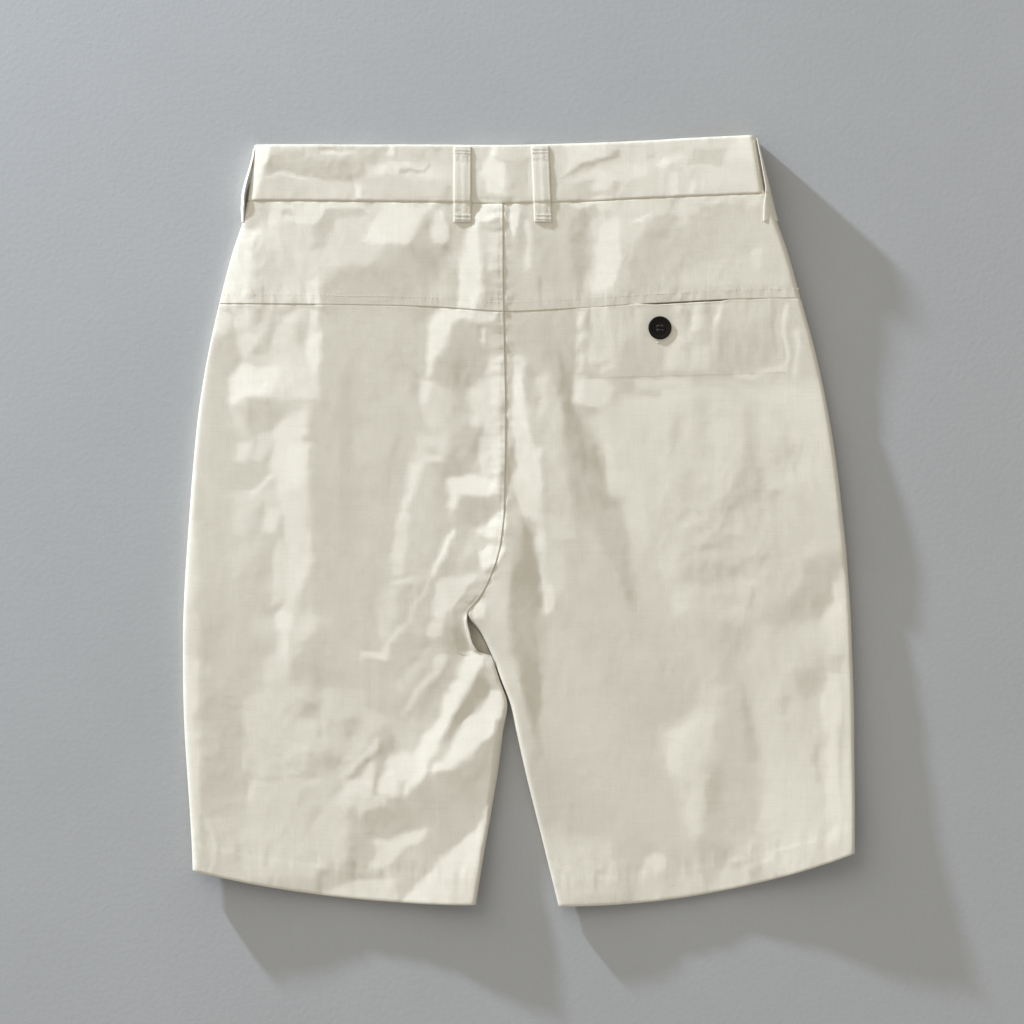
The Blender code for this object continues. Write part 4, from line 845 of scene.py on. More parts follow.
# How far the yoke's edge stands off the leg panels: places along X, and the share at each.
STANDS_AT = (
    (-222, -158, -146, -80, -68, -14, 0, 34, 46, 88, 100, 165, 190, 212),
    (0.9, 0.9, 0.15, 0.15, 1.0, 1.0, 0.9, 0.9, 0.35, 0.45, 1.0, 1.0, 0.3, 0.6),
)

# How strongly the yoke seam is gathered: places along X, and the share at each.
GATHERED_AT = (
    (-222, -150, -140, -78, -66, -14, 0, 36, 46, 130, 152, 212),
    (1.0, 1.0, 0.2, 0.2, 1.0, 0.9, 0.2, 0.2, 0.7, 0.7, 0.4, 0.5),
)


@dataclass(frozen=True)
class Rough:
    """A part of the cloth that is more crumpled than the rest."""

    at: tuple[float, float]
    reach: float
    amount: float


ROUGH = (
    Rough((-165, -180), 95, 1.0),
    Rough((-24, 80), 80, 0.8),
    Rough((-66, -90), 75, 0.7),
    Rough((140, -14), 80, 0.8),
    Rough((120, 156), 70, 0.6),
    Rough((-185, 178), 60, 0.8),
    Rough((-130, 268), 60, 0.6),
    Rough((120, 262), 60, 0.6),
    Rough((40, -262), 60, 0.6),
    Rough((190, -256), 60, 0.6),
    Rough((-190, 100), 70, 0.4),
    Rough((205, -120), 90, 0.3),
    Rough((180, 50), 80, 0.4),
)


@dataclass
class Relief:
    """Heights of the back's outer face above the surface, and of the front's, in millimetres."""

    pattern: Pattern
    pocket: Pocket = field(default_factory=Pocket)
    edge_flat: float = 9.0
    edge_fade: float = 26.0
    ledge: float = 0.15        # how far the upper piece stands up at a lapped seam
    tuck_dip: float = 0.38     # how far the lower piece dips to pass under it
    felled: float = 6.5        # width of the turned edges under a seam
    band_step: float = 0.5
    waist_dip: float = 0.45
    groove: float = 0.12       # a row of stitches sinks this far into the cloth
    stitch_in: float = 2.6     # the centre seam's row of stitches runs this far in from its edge
    corner_share: float = 0.35  # how much of the curled corners the facets make up for
    seat_ease: float = 0.03    # the button lies this far above its seat

    def __post_init__(self) -> None:
        """Reads the height columns and draws the noises."""
        self.middle = table_curve(RINGS, "y", "middle")
        self.edge_left = table_curve(RINGS, "y", "edge_left")
        self.edge_right = table_curve(RINGS, "y", "edge_right")
        self.noises = [Noise(seed) for seed in range(11, 23)]
        self.lie = Lie(self.noises[:6], self.ground, self.roughness)

    # ---- what all the back pieces share

    def corners(self, x: Array, y: Array, back: bool = True, levelled: bool = True) -> Array:
        """How far the curled corners lift the cloth, with those that are creased or without."""
        lifted = np.zeros(np.shape(x))
        for corner in CORNERS:
            if back or not corner.back_only:
                off_x, off_y = x - corner.at[0], y - corner.at[1]
                across = abs(off_x * AWAY_FROM_LIGHT[1] - off_y * AWAY_FROM_LIGHT[0])
                away = across if corner.creased else np.hypot(off_x, off_y)
                lifted += corner.lift * mound(away, corner.reach) * (levelled or not corner.creased)
        return lifted

    def ground(self, x: Array, y: Array) -> Array:
        """What the facets make up for: the smooth section, and a part of the curled corners."""
        return self.base(x, y) + self.corner_share * self.corners(x, y, levelled=False)

    def base(self, x: Array, y: Array) -> Array:
        """The smooth section of the shorts, before any fold."""
        left, right, inner = self.pattern.edge_distances(x, y)
        middle = self.middle(y)
        near_left, near_right, near_inner = (
            bell(np.maximum(away - self.edge_flat, 0), self.edge_fade) for away in (left, right, inner)
        )
        z = middle + (self.edge_left(y) - middle) * near_left + (self.edge_right(y) - middle) * near_right
        return z + (self.edge_left(y) - middle) * near_inner * (1 - near_left) * (1 - near_right)

    def crumple(self, x: Array, y: Array) -> Array:
        """The uneven small crumples of washed linen."""
        n = self.noises
        wander_x = 6 * n[0](x / 31, y / 31)
        wander_y = 6 * n[1](x / 31 + 7.3, y / 31)
        u, v = x + wander_x, y + wander_y
        broad = 0.25 * n[2](u / 36, v / 62)
        ridged = 0.2 * (0.5 - np.abs(n[3](u / 19, v / 27)) * 1.6)
        bent = 0.09 * (0.5 - np.abs(n[4](u / 8.5 + 0.3 * v / 8.5, v / 10)) * 1.6)
        fine = 0.012 * n[5](u / 4.6, v / 5.2) + 0.003 * n[6](x / 2.7, y / 3.1)
        return broad + self.roughness(x, y) * (ridged + bent + fine)

    def roughness(self, x: Array, y: Array) -> Array:
        """How crumpled the cloth is at x, y."""
        uneven = 0.42 + 0.25 * self.noises[7](x / 70, y / 70)
        for part in ROUGH:
            uneven = uneven + part.amount * mound(np.hypot(x - part.at[0], y - part.at[1]), part.reach)
        return uneven

    def body(self, x: Array, y: Array) -> Array:
        """The back's outer face without its seams."""
        return self.base(x, y) + self.lie(x, y) + self.corners(x, y) + self.crumple(x, y)

    def pucker(
        self, along: Array, away: Array, reach: float, height: float, pitch: float, seed: int
    ) -> Array:
        """Short gathers across a row of stitches.

        Args:
            along: Distance along the row.
            away: Distance from it.
            reach: How far the gathers run out from it.
            height: Their height.
            pitch: The usual distance from one to the next.
            seed: Which of the noises they take.

        Returns:
            The height that they add.
        """
        n = self.noises[seed]
        wave = n(along / pitch, away / (3.2 * pitch))
        wave += 0.5 * n(along / (0.45 * pitch) + 9, away / (2 * pitch))
        return height * wave * bell(away, reach)

    def stitched(self, away: Array) -> Array:
        """The groove along a row of stitches."""
        return -self.groove * bell(away, 0.7)

    # ---- the seams

    def at_centre(self, x: Array, y: Array, side: Side) -> Array:
        """The centre back seam: the left side is felled over the right."""
        above = smooth(CROTCH_Y - 2, CROTCH_Y + 10, y)
        if side is Side.LEFT:
            away = self.pattern.seat[Side.LEFT](y) - x
            raised = (self.ledge + 0.15) * (1 - smooth(self.felled - 4, self.felled + 6, away))
            rows = self.stitched(away - self.stitch_in) * (0.7 + 0.9 * self.noises[6](y / 11, 0.5))
            return above * (raised + rows + self.pucker(y, away - 3, 9, 0.34, 8.5, 8))
        away = x - self.pattern.seat[Side.RIGHT](y)
        dip = -self.tuck_dip * (1 - smooth(-0.4, 1.7, away))
        return above * (dip + self.pucker(y, away, 8, 0.3, 9.5, 9))

    def at_yoke_seam(self, x: Array, y: Array, upper: bool) -> Array:
        """The yoke lies over the leg panel and is topstitched through the turned edges."""
        away = y - self.pattern.yoke_seam(x)
        lively = np.interp(x, *GATHERED_AT)
        gathers = lively * self.pucker(x, away - 3, 9, 0.3, 7.0, 10)
        stands = np.interp(x + 5 * self.noises[6](x / 13, 0.5), *STANDS_AT)
        stands = stands * (1 + 0.35 * self.noises[7](x / 9, 0.5))
        if upper:
            felled = 0.16 * smooth(30, 70, x) * self.noises[8](x / 4.6, 3.5) * bell(away - self.felled, 1.8)
            return self.ledge * stands * (1 - smooth(2, 20, away)) + gathers + felled
        is_open = self.pocket.open_share(x)
        dip = -self.tuck_dip * (1 - smooth(-0.4, 0.5 + 1.1 * stands, -away)) * (1 - is_open)
        return dip + 0.25 * is_open * bell(away, 2) + gathers

    def at_waist_seam(self, x: Array, y: Array) -> Array:
        """The yoke dips under the waistband, and gathers a little below it."""
        away = self.pattern.waist_seam(x) - y
        dip = -self.waist_dip * (1 - smooth(-0.4, 1.5, away))
        return dip + self.pucker(x, away, 6, 0.22, 9, 9)

    def at_hem(self, x: Array, y: Array, side: Side) -> Array:
        """The turned hem, a little proud of the leg, with the gathers of its blind stitches."""
        hem = self.pattern.hem_of[side]
        away = y - self.pattern.hem[side](x)
        raised = 0.15 * (1 - smooth(hem.depth - 3, hem.depth + 3, away))
        gathers = self.pucker(x, away - hem.depth, 9, 0.38, 9.5, 8) + self.pucker(x, away, 9, 0.26, 11, 10)
        rolled = -0.5 * bell(np.maximum(away, 0), 0.9)
        return raised + gathers + self.stitched(away - hem.depth) + rolled

    def at_pocket(self, x: Array, y: Array) -> Array:
        """The stitched outline of the pocket and the gathers that hang from its mouth.

        Args:
            x: The place along X.
            y: The place along Y.

        Returns:
            The height that they add.
        """
        p = self.pocket
        low = p.low_edge(x)
        top = self.pattern.yoke_seam(x)
        level = smooth(p.left - 2, p.left, x) * (1 - smooth(p.right, p.right + 2, x))
        upright = smooth(low - 2, low, y) * (1 - smooth(top, top + 2, y))
        sides = bell(x - p.left, p.groove_width) + bell(x - p.right, p.groove_width)
        wear_and_painted_shade = np.clip(0.55 + 1.3 * self.noises[7](x / 17, 0.5), 0, 1.5)
        off_low = y - low + 1.3 * self.noises[6](x / 12, 0.5)
        groove = -p.groove * np.maximum(wear_and_painted_shade * level * bell(off_low, p.groove_width), 0.8 * upright * sides)
        inside = level * upright
        gathers = 0.2 * self.noises[11](x / 11, y / 46) + 0.1 * self.noises[8](x / 5.5, y / 24)
        return groove + inside * (0.1 + gathers * smooth(low, low + 26, y))

    def at_crotch(self, x: Array, y: Array) -> Array:
        """The turned-up lip of the small gap at the crotch, beside the right leg's fold."""
        lip = self.pattern.seat[Side.LEFT](y) - np.interp(y, *CROTCH_GAP)
        here = smooth(-100, -96, y) * (1 - smooth(-74, -68, y))
        return 1.25 * here * bell(x - lip + 0.4, 1.7)

    # ---- one function for each back piece

    def leg(self, x: Array, y: Array, side: Side) -> Array:
        """One back leg panel's outer face."""
        z = self.body(x, y) + self.at_centre(x, y, side) + self.at_yoke_seam(x, y, False)
        z = z + self.at_hem(x, y, side)
        if side is Side.LEFT:
            return z + self.at_crotch(x, y)
        z = z + self.at_pocket(x, y)
        around = np.hypot(x - self.pocket.button_at[0], y - self.pocket.button_at[1])
        return z + (self.button_seat(x, y) - z) * (1 - smooth(*self.pocket.button_pull, around))

    def button_seat(self, x: Array, y: Array) -> Array:
        """The flat place that the button is pulled down to, which slopes as the cloth does."""
        p = self.pocket
        middle = float(self.body(*p.button_at)) - p.button_sink
        return middle + p.button_slope[0] * (x - p.button_at[0]) + p.button_slope[1] * (y - p.button_at[1])

    def yoke(self, x: Array, y: Array, side: Side) -> Array:
        """One yoke's outer face."""
        z = self.body(x, y) + self.at_centre(x, y, side)
        return z + self.at_yoke_seam(x, y, True) + self.at_waist_seam(x, y)

    def either(self, face: Callable[[Array, Array, Side], Array], x: Array, y: Array) -> Array:
        """The outer face of whichever of two panels lies at x, y."""
        on_left = x < self.pattern.seam_centre(y)
        return np.where(on_left, face(x, y, Side.LEFT), face(x, y, Side.RIGHT))

    def band(self, x: Array, y: Array) -> Array:
        """The waistband's outer face on the back."""
        away = y - self.pattern.waist_seam(x)
        top = self.pattern.waist_top(x) - y
        gathers = self.pucker(x, away, 6, 0.14, 8, 10) + self.pucker(x, top, 6, 0.2, 10, 9)
        rolled = -0.35 * (bell(np.maximum(away, 0), 0.8) + bell(np.maximum(top, 0), 0.9))
        return self.body(x, y) + self.band_step + gathers + rolled

    def top_at(self, x: Array, y: Array) -> Array:
        """The highest cloth of the back at x, y, whichever piece it is."""
        on_band = smooth(-0.6, 0.2, y - self.pattern.waist_seam(x))
        on_yoke = y > self.pattern.yoke_seam(x)
        below = np.where(on_yoke, self.either(self.yoke, x, y), self.either(self.leg, x, y))
        return below * (1 - on_band) + self.band(x, y) * on_band


# ---------------------------------------------------------------- from curves to cloth


@dataclass(frozen=True)
class Roll:
    """How a long edge of a piece rolls under."""

    radius: float = 0.0            # in plan; 0 where the edge doesn't roll
    seam_z: float = 4.7            # the height that it ends at
    folded_below: float = 1e3      # it is folded below this y, and flat above it
    ramp: float = 14.0
    steps: int = 12
    squareness: float = 3.0        # 2 is an ellipse, more is a flatter top with a steeper edge

    def stations(self, width: float, ys: Array) -> tuple[Array, Array]:
        """Places round the edge, from its seam inwards.

        Args:
            width: The piece's width.
            ys: The y of the edge at each row.

        Returns:
            The share of the width and the share of the height at each row and station.
        """
        if not self.radius:
            return np.zeros((len(ys), 1)), np.ones((len(ys), 1))
        share = self.radius / width
        angle = np.linspace(0, math.pi / 2, self.steps + 1)
        turned = share * (1 - np.cos(angle).clip(0, 1) ** (2 / self.squareness))
        risen, evenly = np.sin(angle) ** (2 / self.squareness), np.linspace(0, share, self.steps + 1)
        folded = (1 - smooth(self.folded_below - self.ramp, self.folded_below, ys))[:, None]
        return evenly + (turned - evenly) * folded, 1 + (risen - 1) * folded


@dataclass(frozen=True)
class Patch:
    """A cloth piece: four boundary curves in plan, its surface, and how its two long edges roll.

    Each curve runs from 0 to 1 and gives x, y. The left and right curves run from the top down.
    """

    top: Curve
    bottom: Curve
    left: Curve
    right: Curve
    surface: Height
    lift: Height
    roll_left: Roll = Roll()
    roll_right: Roll = Roll()

    @property
    def width(self) -> float:
        """The width half way down."""
        return float(np.linalg.norm(self.left(0.5) - self.right(0.5)))

    @property
    def length(self) -> float:
        """The length, as the mean of the two long edges."""
        runs = (self.left(1.0) - self.left(0.0), self.right(1.0) - self.right(0.0))
        return float(np.mean([np.linalg.norm(run) for run in runs]))

    def points(self, across: Array, down: Array) -> Array:
        """The outer face as rows of points, in millimetres.

        Args:
            across: Places from 0 to 1 between the two rolled edges.
            down: Places from 0 at the top to 1 at the bottom.

        Returns:
            The points, rows x columns x 3.
        """
        left, right = self.left(down)[:, None], self.right(down)[:, None]
        u_left, rise_left = self.roll_left.stations(self.width, left[:, 0, 1])
        u_right, rise_right = self.roll_right.stations(self.width, right[:, 0, 1])
        share_left, share_right = u_left[0, -1], u_right[0, -1]
        inner = share_left + (1 - share_left - share_right) * across[1:-1] + np.zeros((len(down), 1))
        ones = np.ones_like(inner)
        u = np.concatenate([u_left, inner, 1 - u_right[:, ::-1]], axis=1)
        rises = (
            np.concatenate([rise_left, ones, np.ones_like(rise_right)], axis=1),
            np.concatenate([np.ones_like(rise_left), ones, rise_right[:, ::-1]], axis=1),
        )
        w, v = u[..., None], down[:, None, None]
        corners = (1 - w) * (1 - v) * self.top(0.0) + w * (1 - v) * self.top(1.0)
        corners = corners + (1 - w) * v * self.bottom(0.0) + w * v * self.bottom(1.0)
        plan = (1 - v) * self.top(u) + v * self.bottom(u) + (1 - w) * left + w * right - corners
        x, y = plan[..., 0], plan[..., 1]
        z = self.surface(x, y)
        lift = self.lift(x, y)
        for roll, rise in zip((self.roll_left, self.roll_right), rises):
            base = roll.seam_z + lift
            z = base + (z - base) * rise
        return np.stack([x, y, z], axis=-1)


def down_edge(edge: Curve, y_top: float, y_bottom: float) -> Curve:
    """The boundary curve along an edge given as x of y, from y_top down to y_bottom."""

    def curve(v: Array) -> Array:
        """The point at share v."""
        y = y_top + (y_bottom - y_top) * np.asarray(v, float)
        return np.stack([edge(y) + 0 * y, y], axis=-1)

    return curve


def across_seam(seam: Curve, x_left: float, x_right: float) -> Curve:
    """The boundary curve along a seam given as y of x, from x_left to x_right."""

    def curve(u: Array) -> Array:
        """The point at share u."""
        x = x_left + (x_right - x_left) * np.asarray(u, float)
        return np.stack([x, seam(x) + 0 * x], axis=-1)

    return curve


def stays_down(x: Array, y: Array) -> Array:
    """The lift of a piece whose edges stay down."""
    return 0.0 * x


def patch_between(
    top: Curve,
    bottom: Curve,
    edges: tuple[Curve, Curve],
    rolls: tuple[Roll, Roll],
    surface: Height,
    lift: Height = stays_down,
) -> Patch:
    """The patch between two seams and two edges.

    Args:
        top: The upper seam, as y of x.
        bottom: The lower seam, as y of x.
        edges: The left and the right edge, from the top down.
        rolls: How those two edges roll.
        surface: The outer face.
        lift: How far the rolled edges are lifted.

    Returns:
        The patch.
    """
    starts, ends = [edge(0.0)[0] for edge in edges], [edge(1.0)[0] for edge in edges]
    return Patch(across_seam(top, *starts), across_seam(bottom, *ends), *edges, surface, lift, *rolls)


def moved(curve: Curve, by: float) -> Curve:
    """A curve moved by a fixed amount."""
    return lambda t: curve(t) + by


def boundary(rows: int, columns: int) -> Array:
    """The places round the border of a grid, clockwise from its first place, as row and column."""
    j, i = np.arange(rows), np.arange(columns)
    top, right = np.stack([0 * i, i], 1), np.stack([j, 0 * j + columns - 1], 1)
    bottom, left = np.stack([0 * i + rows - 1, i[::-1]], 1), np.stack([j[::-1], 0 * j], 1)
    return np.concatenate([top[:-1], right[:-1], bottom[:-1], left[:-1]])


def quads(rows: int, columns: int, first: int, flipped: bool) -> Array:
    """The faces of a grid of vertices that starts at index first."""
    a = first + (np.arange(rows - 1)[:, None] * columns + np.arange(columns - 1)[None, :]).ravel()
    faces = np.stack([a, a + columns, a + columns + 1, a + 1], axis=1)
    return faces[:, ::-1] if flipped else faces


def grid_normals(grid: Array) -> Array:
    """Unit normals of a grid of points, on the side that faces up where its rows run from the top down."""
    normal = np.cross(np.gradient(grid, axis=1), -np.gradient(grid, axis=0))
    return normal / np.maximum(np.linalg.norm(normal, axis=-1, keepdims=True), 1e-9)


def to_object(name: str, points: Array, faces: list) -> bpy.types.Object:
    """A smooth mesh object at the origin, from points in millimetres.

    Args:
        name: The piece's name.
        points: The vertices.
        faces: The faces, each a list of vertex numbers.

    Returns:
        The object, linked to the scene.
    """
    mesh = bpy.data.meshes.new(name)
    mesh.from_pydata((np.asarray(points) * MM).tolist(), [], faces)
    mesh.shade_smooth()
    return add_object(name, mesh)


def add_object(name: str, data: bpy.types.ID) -> bpy.types.Object:
    """A new object on some data, linked to the scene."""
    made = bpy.data.objects.new(name, data)
    bpy.context.scene.collection.objects.link(made)
    return made


def from_shape(name: str, shape: bmesh.types.BMesh) -> bpy.types.Object:
    """An object made of a worked shape, which is freed."""
    mesh = bpy.data.meshes.new(name)
    shape.to_mesh(mesh)
    shape.free()
    return add_object(name, mesh)


def carried_out(piece: bpy.types.Object, *tools: bpy.types.Object) -> bpy.types.Mesh:
    """The plain mesh that a piece's modifiers give. The piece and the tools that it used are removed.

    Args:
        piece: The piece.
        tools: Other objects that its modifiers read.

    Returns:
        The mesh.
    """
    graph = bpy.context.evaluated_depsgraph_get()
    mesh = bpy.data.meshes.new_from_object(piece.evaluated_get(graph))
    for old in (piece, *tools):
        bpy.data.objects.remove(old)
    return mesh


@dataclass(frozen=True)
class Shell:
    """A closed thin wall: the drawn face, an inner face at half its fineness, and a rounded rim."""

    grid: Array
    thickness: Array
    facing_up: bool = True
    bulge: float = 0.3

    def build(self, name: str) -> bpy.types.Object:
        """Makes the mesh. The grid has an odd number of rows and of columns.

        Args:
            name: The piece's name.

        Returns:
            The object.
        """
        rows, columns = self.grid.shape[:2]
        up = grid_normals(self.grid) * (1.0 if self.facing_up else -1.0)
        wall = self.thickness[..., None]
        inner = (self.grid - up * wall)[::2, ::2]
        ring = boundary(rows, columns)
        j, i = ring.T
        towards = self.grid[j, i] - self.grid[np.clip(j, 1, rows - 2), np.clip(i, 1, columns - 2)]
        towards -= up[j, i] * np.sum(towards * up[j, i], axis=1, keepdims=True)
        towards /= np.maximum(np.linalg.norm(towards, axis=1, keepdims=True), 1e-9)
        middle = self.grid[j, i] + wall[j, i] * (self.bulge * towards - 0.5 * up[j, i])
        outer_ring = j * columns + i
        first_middle = rows * columns
        first_inner = first_middle + len(ring)
        middle_ring = first_middle + np.arange(len(ring))
        half_rows, half_columns = inner.shape[:2]
        half = boundary(half_rows, half_columns)
        inner_ring = first_inner + half[:, 0] * half_columns + half[:, 1]
        after, later = np.roll(middle_ring, -1), np.roll(middle_ring, -2)
        band = np.stack([outer_ring, np.roll(outer_ring, -1), after, middle_ring], axis=1)
        a, b, c = middle_ring[::2], after[::2], later[::2]
        d, e = inner_ring, np.roll(inner_ring, -1)
        threes = np.concatenate([np.stack(t, axis=1) for t in ((a, b, d), (b, c, e), (b, e, d))])
        if not self.facing_up:
            band, threes = band[:, ::-1], threes[:, ::-1]
        faces = quads(rows, columns, 0, not self.facing_up).tolist()
        faces += quads(half_rows, half_columns, first_inner, self.facing_up).tolist()
        faces += band.tolist() + threes.tolist()
        points = np.concatenate([self.grid.reshape(-1, 3), middle, inner.reshape(-1, 3)])
        return to_object(name, points, faces)


@dataclass(frozen=True)
class Cut:
    """How a cloth piece was cut, where it shows: the widest and the longest in metres, and the area."""

    node: str                       # the node that it stands for
    flat: tuple[float, float]
    area: float | None
    rests_on: tuple[str, ...]


LOOP_FLAT = (0.0132, 0.058)
CUTS = {
    "left_back_leg": Cut("back_left_leg", (0.252, 0.456), 0.103, ("left_front_leg",)),
    "right_back_leg": Cut("back_right_leg", (0.297, 0.458), 0.1145, ("right_front_leg",)),
    "left_front_leg": Cut("front_left_leg", (0.252, 0.532), 0.119, ("surface", "loop_front_left")),
    "right_front_leg": Cut("front_right_leg", (0.297, 0.534), 0.130, ("surface", "loop_front_right")),
    "left_yoke": Cut("yoke_left", (0.222, 0.082), 0.017, ("left_front_leg", "left_back_leg")),
    "right_yoke": Cut("yoke_right", (0.230, 0.084), 0.0175, ("right_front_leg", "right_back_leg")),
    "band_back": Cut("waistband_back", (0.400, 0.046), 0.0172, ("band_front_left", "band_front_right")),
    "band_front_left": Cut("waistband_front_left", (0.213, 0.045), 0.0092, ("surface", "loop_front_left")),
    "band_front_right": Cut("waistband_front_right", (0.228, 0.046), 0.0098, ("surface", "loop_front_right")),
    "loop_back_left": Cut("belt_loop_back_left", LOOP_FLAT, None, ("band_back", "left_yoke")),
    "loop_back_right": Cut("belt_loop_back_right", LOOP_FLAT, None, ("band_back", "right_yoke")),
    "loop_front_left": Cut("belt_loop_front_left", LOOP_FLAT, None, ("surface",)),
    "loop_front_right": Cut("belt_loop_front_right", LOOP_FLAT, None, ("surface",)),
    "loop_side_left": Cut("belt_loop_side_left", LOOP_FLAT, None, ("band_back", "left_yoke")),
    "loop_side_right": Cut("belt_loop_side_right", LOOP_FLAT, None, ("band_back", "right_yoke")),
    "pocket_inner": Cut("back_pocket", (0.156, 0.064), 0.0092, ("right_front_leg",)),
    "zip_tape": Cut("fly_zip", (0.0242, 0.148), None, ("left_front_leg", "right_front_leg")),
}


def dress(piece: bpy.types.Object, material: bpy.types.Material, slot: str, *nodes: str) -> bpy.types.Object:
    """Gives a finished piece its material and its body, and hides the nodes that it stands for.

    Args:
        piece: The piece.
        material: Its finish.
        slot: Not used.
        nodes: The nodes that it replaces.

    Returns:
        The same piece.
    """
    piece.data.materials.clear()
    piece.data.materials.append(material)
    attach(piece, BODY)
    if nodes:
        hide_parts(*nodes)
    LOG.info("%s: %d faces", piece.name, len(piece.data.polygons))
    return piece


# ---------------------------------------------------------------- finishes


@dataclass
class Tree:
    """A node tree, with a short way to add to it."""

    tree: bpy.types.NodeTree

    def feed(self, socket: bpy.types.NodeSocket, value: object) -> None:
        """Links a socket to another one, or sets its value."""
        if isinstance(value, bpy.types.NodeSocket):
            self.tree.links.new(value, socket)
        else:
            socket.default_value = value

    def add(self, kind: str, settings: dict | None = None, **inputs: object) -> bpy.types.Node:
        """A node with its properties set, and its inputs set or linked by name.

        Args:
            kind: The node's type.
            settings: Its properties.
            inputs: Its inputs, with _ for a space in a name.

        Returns:
            The node.
        """
        node = self.tree.nodes.new(kind)
        for key, value in (settings or {}).items():
            setattr(node, key, value)
        self.set_inputs(node, **inputs)
        return node

    def set_inputs(self, node: bpy.types.Node, **inputs: object) -> None:
        """Sets or links a node's inputs by name, with _ for a space."""
        for key, value in inputs.items():
            self.feed(node.inputs[key.replace("_", " ")], value)

    def math(self, operation: str, a: object, b: object = 0.0) -> bpy.types.NodeSocket:
        """The result of a sum on two values or sockets."""
        node = self.add("ShaderNodeMath", {"operation": operation})
        self.feed(node.inputs[0], a)
        self.feed(node.inputs[1], b)
        return node.outputs[0]


class Finish(Tree):
    """A material's node tree, which reads the piece's own place."""

    def __init__(self, name: str, colour: tuple[float, float, float]) -> None:
        """Starts the material with its one shader.

        Args:
            name: The material's name.
            colour: Its base colour.
        """
        self.material, self.colour = bpy.data.materials.new(name), colour
        self.material.use_nodes = True
        self.material.diffuse_color = (*colour, 1.0)
        super().__init__(self.material.node_tree)
        self.shader = self.tree.nodes["Principled BSDF"]
        self.place = self.add("ShaderNodeTexCoord").outputs["Object"]
        self.x, self.y = self.add("ShaderNodeSeparateXYZ", Vector=self.place).outputs[:2]

    def noise(self, *scale: float, detail: float = 2.0) -> bpy.types.NodeSocket:
        """Noise from 0 to 1, with one scale for all axes or one for each."""
        scale = scale if len(scale) == 3 else scale * 3
        mapped = self.add("ShaderNodeMapping", Vector=self.place, Scale=scale)
        return self.add("ShaderNodeTexNoise", Vector=mapped.outputs[0], Scale=1.0, Detail=detail).outputs[0]

    def spread(self, value: bpy.types.NodeSocket, low: float, high: float) -> bpy.types.NodeSocket:
        """A value from 0 to 1 stretched to lie between low and high."""
        return self.add("ShaderNodeMapRange", Value=value, To_Min=low, To_Max=high).outputs[0]

    def product(self, *values: bpy.types.NodeSocket) -> bpy.types.NodeSocket:
        """The product of several values."""
        result = values[0]
        for value in values[1:]:
            result = self.math("MULTIPLY", result, value)
        return result

    def done(self, *tones: bpy.types.NodeSocket, **inputs: object) -> bpy.types.Material:
        """The material, with its base colour times the tones, and other inputs of its shader set by name."""
        scaled = self.add("ShaderNodeVectorMath", {"operation": "SCALE"}, Scale=self.product(*tones))
        scaled.inputs[0].default_value = self.colour
        self.set_inputs(self.shader, Base_Color=scaled.outputs[0], **inputs)
        return self.material

    def bump(self, height: bpy.types.NodeSocket, distance: float) -> None:
        """Adds a bump, after any that is there already."""
        normal = self.shader.inputs["Normal"]
        node = self.add("ShaderNodeBump", Height=height, Distance=distance, Strength=1.0)
        if normal.links:
            self.tree.links.new(normal.links[0].from_socket, node.inputs["Normal"])
        self.tree.links.new(node.outputs[0], normal)


@dataclass(frozen=True)
class Linen:
    """Washed plain-weave linen, off-white, with uneven yarns."""

    name: str = "linen"
    colour: tuple[float, float, float] = (0.828, 0.757, 0.613)
    pitch: float = 0.62 * MM         # from one yarn to the next
    yarn_relief: float = 0.05 * MM
    slub_relief: float = 0.06 * MM
    waver: float = 9.0               # how far the yarns stray, in radians of the weave
    waver_scale: float = 90.0
    warp_slub: tuple[float, float, float] = (1300.0, 42.0, 42.0)
    weft_slub: tuple[float, float, float] = (38.0, 1250.0, 38.0)
    cloud_scale: float = 26.0
    sheen_tint: tuple[float, float, float, float] = (0.9, 1.0, 1.06, 1.0)

    def make(self) -> bpy.types.Material:
        """The material."""
        finish = Finish(self.name, self.colour)
        waver = finish.math("MULTIPLY", finish.noise(self.waver_scale, detail=1.0), self.waver)
        waves = []
        for along in (finish.x, finish.y):
            yarns = finish.math("MULTIPLY", along, math.tau / self.pitch)
            waves.append(finish.math("SINE", finish.math("ADD", yarns, waver)))
        weave = finish.product(*waves)
        slubs = finish.math("ADD", finish.noise(*self.warp_slub), finish.noise(*self.weft_slub))
        cloudy = finish.noise(self.cloud_scale, detail=3.0)
        finish.bump(slubs, self.slub_relief)
        finish.bump(weave, self.yarn_relief)
        return finish.done(
            finish.spread(slubs, 0.86, 1.03),
            finish.spread(cloudy, 0.975, 1.025),
            finish.spread(weave, 1.0, 1.035),
            Roughness=0.9,
            Specular_IOR_Level=0.25,
            Sheen_Weight=0.3,
            Sheen_Roughness=0.45,
            Sheen_Tint=self.sheen_tint,
        )


@dataclass(frozen=True)
class Thread:
    """Sewing thread, a little lighter than the cloth."""

    name: str = "sewing thread"
    colour: tuple[float, float, float] = (0.78, 0.73, 0.62)
    tone_scale: float = 900.0
    strand_scale: float = 5200.0
    relief: float = 0.03 * MM

    def make(self) -> bpy.types.Material:
        """The material."""
        finish = Finish(self.name, self.colour)
        tone = finish.spread(finish.noise(self.tone_scale), 0.88, 1.08)
        finish.bump(finish.noise(self.strand_scale, detail=1.0), self.relief)
        return finish.done(tone, Roughness=0.65, Sheen_Weight=0.15)


